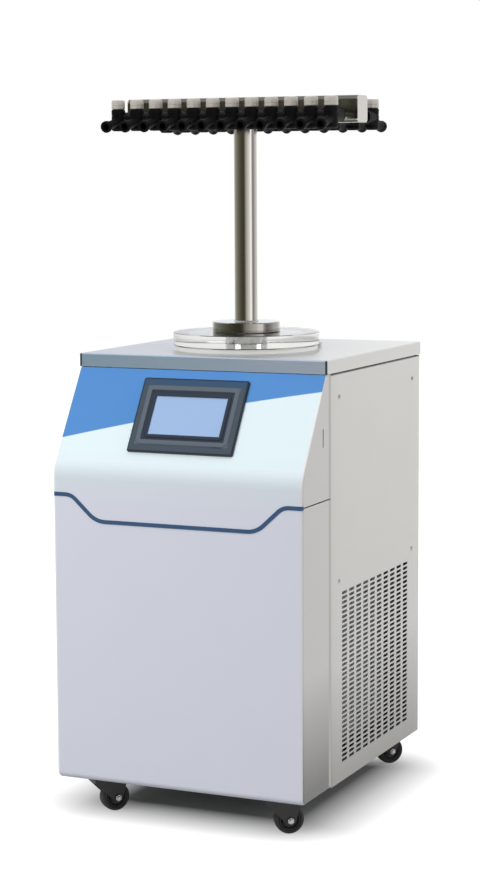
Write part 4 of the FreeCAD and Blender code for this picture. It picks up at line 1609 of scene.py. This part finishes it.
@dataclass
class Studio:
    """Floor, backdrop light, lamps, what mirrors show, and camera.

    Attributes:
        eye: Place of the camera.
        yaw: Turn of the view from straight back, in radians.
        pitch: How far the view looks down.
        roll: Tilt of the view.
        lens: Focal length in millimetres, for a sensor 36 mm high.
        aim: What the lamps face.
        lamps: The soft lights round the machine.
        sky: Strength of the even light.
        paper: Display colour of the floor.
        paper_drift: Width of the slight wander of that colour.
        lift: How much the floor is brightened for the eye beside the machine.
        shadow_half: Half width of the block on the floor that is never brightened.
        shadow_ends: Where that block starts and ends from front to back.
        shadow_fade: Over what distance from the block the brightening grows.
        full_from: How far from the block it starts to grow to full.
        full_fade: Over what distance it does.
        floor_half: Half width of the floor.
        roof: Display colour of the tent's roof, as polished steel shows it.
        roof_from: Height where the wall has half turned to roof.
        roof_fade: Over what height it turns.
        tent_light: Strength of the tent, which makes up for what steel swallows.
        tent_shape: Height and radius pairs of the tent, in millimetres.
        walls: Angle in degrees anticlockwise from +X and display colour round the tent.
    """
    eye: Point = (1.72395, -3.81770, 1.18969)
    yaw: float = -0.4274105
    pitch: float = 0.1208299
    roll: float = -0.0055967
    lens: float = 89.26
    aim: Point = (0.0, 0.0, 0.7)
    lamps: tuple[Lamp, ...] = (
        Lamp("key_light", (-1.6, -2.9, 2.1), (2.2, 2.2), 53),
        Lamp("top_light", (0.2, -0.2, 3.6), (2.6, 2.6), 36),
        Lamp("right_light", (2.5, 0.5, 1.8), (1.5, 1.8), 29))
    sky: float = 0.46
    paper: Colour = (140.0, 140.0, 139.0)
    paper_drift: float = 0.5
    lift: float = 0.9
    shadow_half: float = 0.176
    shadow_ends: tuple[float, float] = (-0.185, 0.218)
    shadow_fade: float = 0.155
    full_from: float = 0.8
    full_fade: float = 2.5
    floor_half: float = 9.0
    roof: Colour = (186.0, 188.0, 192.0)
    roof_from: float = 2.3
    roof_fade: float = 0.8
    tent_light: float = 1.5
    tent_shape: tuple[tuple[float, float], ...] = (
        (-100, 3400), (2000, 3400), (2800, 3200), (3400, 2600), (3800, 1600), (4000, 400), (4020, 20))
    walls: tuple[tuple[float, Colour], ...] = (
        (0, (150., 147., 144.)), (5, (126., 122., 119.)), (13, (128., 124., 121.)), (27, (160., 156., 154.)),
        (42, (191., 188., 186.)), (62, (200., 198., 196.)), (84, (235., 234., 232.)), (104, (235., 235., 233.)),
        (114, (214., 215., 218.)), (124, (200., 203., 212.)), (140, (205., 206., 202.)), (158, (160., 160., 150.)),
        (170, (142., 141., 130.)), (186, (128., 128., 116.)), (200, (112., 111., 98.)), (214, (98., 97., 83.)),
        (238, (75., 74., 59.)), (262, (60., 57., 45.)), (276, (60., 57., 45.)), (284, (92., 88., 77.)),
        (293, (146., 142., 133.)), (309, (180., 175., 167.)), (319, (198., 193., 187.)), (329, (210., 205., 200.)),
        (337, (240., 236., 232.)), (350, (240., 236., 232.)), (355, (176., 172., 169.)), (360, (150., 147., 144.)))

    @staticmethod
    def stand(name: str, data: bpy.types.ID, *columns: Sequence[float]) -> bpy.types.Object:
        """Put a camera or lamp in the scene.

        Args:
            name: The object's name.
            data: The camera or lamp.
            columns: Its right, its up, the way its back faces, and its place.

        Returns:
            The object.
        """
        stood = bpy.data.objects.new(name, data)
        stood.matrix_world = Matrix(np.vstack([np.column_stack(columns), (0, 0, 0, 1)]).tolist())
        bpy.context.scene.collection.objects.link(stood)
        return stood

    def camera(self) -> None:
        """Place the camera from its turn, pitch and roll."""
        ahead = np.array([math.sin(self.yaw) * math.cos(self.pitch), math.cos(self.yaw) * math.cos(self.pitch),
                          -math.sin(self.pitch)])
        right = np.array([math.cos(self.yaw), -math.sin(self.yaw), 0.0])
        up = np.cross(right, ahead)
        level, lean = math.cos(self.roll), math.sin(self.roll)
        data = bpy.data.cameras.new("camera")
        data.lens = self.lens
        data.sensor_width = 36.0
        data.clip_end = 50.0
        bpy.context.scene.camera = self.stand("camera", data, right * level + up * lean, up * level - right * lean,
                                              -ahead, self.eye)

    def light(self, lamp: Lamp) -> None:
        """Hang one lamp, facing the aim.

        Args:
            lamp: Its name, place, size and power.
        """
        data = bpy.data.lights.new(lamp.name, "AREA")
        data.shape = "RECTANGLE"
        data.size, data.size_y = lamp.size
        data.energy = lamp.power
        away = unit(np.subtract(lamp.place, self.aim))
        side = unit(np.cross((0.0, 0.0, 1.0), away) if abs(away[2]) < 0.99 else (1.0, 0.0, 0.0))
        self.stand(lamp.name, data, side, np.cross(away, side), away, lamp.place).visible_glossy = False

    @staticmethod
    def seen(board: Board) -> Value:
        """Tell the rays that show a surface from the light that falls on things.

        Args:
            board: The material's or world's board.

        Returns:
            1 for camera, mirror and see-through rays, 0 for the rest.
        """
        path = board.node("ShaderNodeLightPath")
        rays = [Value(board, path.outputs[name]) for name in ("Is Camera Ray", "Is Glossy Ray", "Is Transmission Ray")]
        return rays[0] | rays[1] | rays[2]

    def backdrop(self) -> None:
        """White surroundings that light things at the sky's strength."""
        world = bpy.data.worlds.new("surroundings")
        bpy.context.scene.world = world
        board = Board(world)
        strength = self.sky + self.seen(board) * (1 - self.sky)
        board.finish(board.node("ShaderNodeBackground", inputs={"Color": (1, 1, 1, 1), "Strength": strength}), "World")

    def floor(self) -> None:
        """A wide pale floor that shows white round the machine's shadow, partly rendered and partly painted.

        The lift towards white is painted light for the eye. It grows with the distance from a block inside the
        cabinet's outline and is nothing there, so the shadow under the cabinet is rendered, while the block and the
        lift's fade paint how far it reaches.
        """
        corners = np.array([(-1, -1, 0), (1, -1, 0), (1, 1, 0), (-1, 1, 0)]) * self.floor_half
        plane = Form(corners, [np.array([[0, 1, 2, 3]])]).piece("studio_floor")
        material = bpy.data.materials.new("floor_paper")
        board = Board(material)
        x, y = board.spot()[:2]
        front, back = self.shadow_ends
        beside = (abs(x) - self.shadow_half) | 0.0
        before = (abs(y - (front + back) / 2) - (back - front) / 2) | 0.0
        away = (beside ** 2 + before ** 2) ** 0.5
        near = (away / self.shadow_fade) & 1.0
        far = ((away - self.full_from) / self.full_fade).clamped()
        # painted shadow: the lift fades in from the block
        lift = board.blend(near * self.lift + far * (1 - self.lift), (0.0, 0.0, 0.0), (255.0, 255.0, 255.0))
        colour = board.blend(board.noise(self.paper_drift), self.paper, shade(self.paper, 1.01))
        paper = board.node("ShaderNodeBsdfDiffuse", inputs={"Color": colour})
        glow = board.node("ShaderNodeEmission", inputs={"Color": lift, "Strength": self.seen(board)})
        board.finish(board.node("ShaderNodeAddShader", inputs={0: paper.outputs[0], 1: glow.outputs[0]}))
        plane.data.materials.append(material)

    def tent(self) -> None:
        """A round wall with a domed roof that only mirrors show.

        Its colour follows the angle round the machine, and fades to the roof's with height.
        """
        cloth = lathe(self.tent_shape, (0, 0, 0), (0, 0, 1), around=96).piece("mirror_tent", smooth_to=180)
        material = bpy.data.materials.new("tent_cloth")
        board = Board(material)
        x, y, z = board.spot()
        turn = (y.maths("ARCTAN2", x) / math.tau).maths("FRACT")
        stops = [(angle / 360, colour) for angle, colour in self.walls]
        wall = board.node("ShaderNodeValToRGB", {"stops": stops}, {"Fac": turn}).outputs[0]
        colour = board.blend(z.above(self.roof_from, self.roof_fade), wall, self.roof)
        board.finish(board.node("ShaderNodeEmission", inputs={"Color": colour, "Strength": self.tent_light}))
        cloth.data.materials.append(material)
        for flag in ("visible_camera", "visible_diffuse", "visible_transmission", "visible_shadow"):
            setattr(cloth, flag, False)

    def build(self) -> None:
        """Set the whole studio."""
        bpy.context.scene.view_settings.view_transform = "Standard"
        self.camera()
        self.backdrop()
        self.floor()
        for lamp in self.lamps:
            self.light(lamp)
        self.tent()


# ----------------------------------------------------------------------- main


FINISHES = {
    "cover_paint": FasciaPaint("cover_paint", (238.0, 241.0, 255.0), roughness=0.42, drift=0.006, relief=0.00002,
                               # painted shade at the cheeks' foot
                               foot=(121.0, 120.0, 119.0), foot_shade_low=0.09,
                               seam=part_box("side_panel_right")[0].y),
    "side_paint": PanelPaint("side_paint", (224.0, 223.0, 219.0), roughness=0.46, drift=0.012, relief=0.00003,
                             # painted shade at the foot
                             foot=(173.0, 172.0, 168.0),
                             # painted shadow under the top plate's lip
                             shade_strip_from=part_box("side_panel_right")[1].z - 2.2 * MM),
    "trim_blue": Finish("trim_blue", (58.0, 92.0, 132.0), roughness=0.35, drift=0.05, relief_size=0.001),
    "galvanised": Speckled("galvanised", (168.0, 172.0, 176.0), roughness=0.42, metallic=1.0, cell=0.009,
                           contrast=0.14),
    "frame_paint": Finish("frame_paint", (88.0, 92.0, 96.0), roughness=0.5, drift=0.04),
    "stainless": TwoSteels("stainless", (208.0, 210.0, 215.0), roughness=0.34, metallic=0.7, drift=0.03,
                           # painted highlight: right is the plate's lighter right end
                           relief=0.000006, right=(218.0, 218.0, 217.0), lip=(181.0, 209.0, 231.0),
                           # painted reflection and light: lip is the lip's bluish tint, lip_lit_right its lighter
                           # right end
                           lip_lit_right=(211.0, 225.0, 244.0), lip_front=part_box("top_plate")[0].y + 1.5 * MM,
                           lip_end=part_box("top_plate")[1].x - 4 * MM,
                           other=(174.0, 174.0, 172.0), other_roughness=0.03, zone_radius=0.07,
                           zone_from=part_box("lid_gasket")[0].z + 2 * MM),
    "polished_steel": TwoSteels("polished_steel", (212.0, 211.0, 208.0), roughness=0.11, metallic=1.0, drift=0.02,
                                # painted reflection: other is the header's dark olive colour
                                polish=0.04, relief=0.000003, line=0.0004, other=(128.0, 128.0, 117.0),
                                other_roughness=0.2, zone_from=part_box("manifold_header")[0].z, zone_half=0.2365),
    "screw_steel": Finish("screw_steel", (176.0, 178.0, 182.0), roughness=0.3, metallic=1.0, drift=0.05),
    "bezel_plastic": BezelPlastic("bezel_plastic", (62.0, 76.0, 88.0), roughness=0.42, drift=0.03,
                                  relief_size=0.0007),
    "screen_glass": Glow("screen_glass", (157.0, 187.0, 228.0), roughness=0.12, drift=0.01, relief=0.000002,
                         coat=0.6, light=0.05),
    "foam": Speckled("foam", (196.0, 186.0, 150.0), roughness=0.9, cell=0.0025, contrast=0.12, relief=0.0003),
    "compressor_paint": Finish("compressor_paint", (28.0, 29.0, 31.0), roughness=0.32, drift=0.08, coat=0.4),
    "fin_aluminium": Finned("fin_aluminium", (190.0, 193.0, 196.0), roughness=0.36, metallic=1.0, relief=0.0004),
    "black_plastic": Finish("black_plastic", (17.0, 17.0, 18.0), roughness=0.48, drift=0.08, relief_size=0.0009),
    "gasket_rubber": Finish("gasket_rubber", (238.0, 238.0, 234.0), roughness=0.5, drift=0.03),
    "clear_acrylic": ClearPlastic("clear_acrylic", (238.0, 238.0, 235.0), roughness=0.08, drift=0.004,
                                  polish=0.02, relief=0.000001),
    "valve_rubber": Finish("valve_rubber", (7.0, 7.0, 8.0), roughness=0.55, drift=0.12, relief_size=0.0008,
                           specular=0.14),
    "knob_plastic": Finish("knob_plastic", (196.0, 191.0, 182.0), roughness=0.4, drift=0.03, relief_size=0.0007),
    "tread_rubber": Finish("tread_rubber", (26.0, 26.0, 28.0), roughness=0.62, drift=0.12, drift_size=0.03),
}


def main() -> None:
    """Build the studio and every piece."""
    logging.basicConfig(level=logging.INFO, format="%(name)s %(message)s")
    Studio().build()
    shop = Shop(FINISHES)
    shop.dress_nodes()
    for name, side in (("right", 1), ("left", -1)):
        sheet = shop.dress(PiercedSheet("side_sheet_" + name, side).build(), "side_paint")
        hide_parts("side_panel_" + name)
    screws = shop.dress(Screws().build(), "screw_steel")
    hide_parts("panel_screws")
    ScreenSurround().build(shop)
    Manifold(Valve()).build(shop)
    for corner in CORNERS:
        Caster(corner).build(shop)


if __name__ == "__main__":
    main()
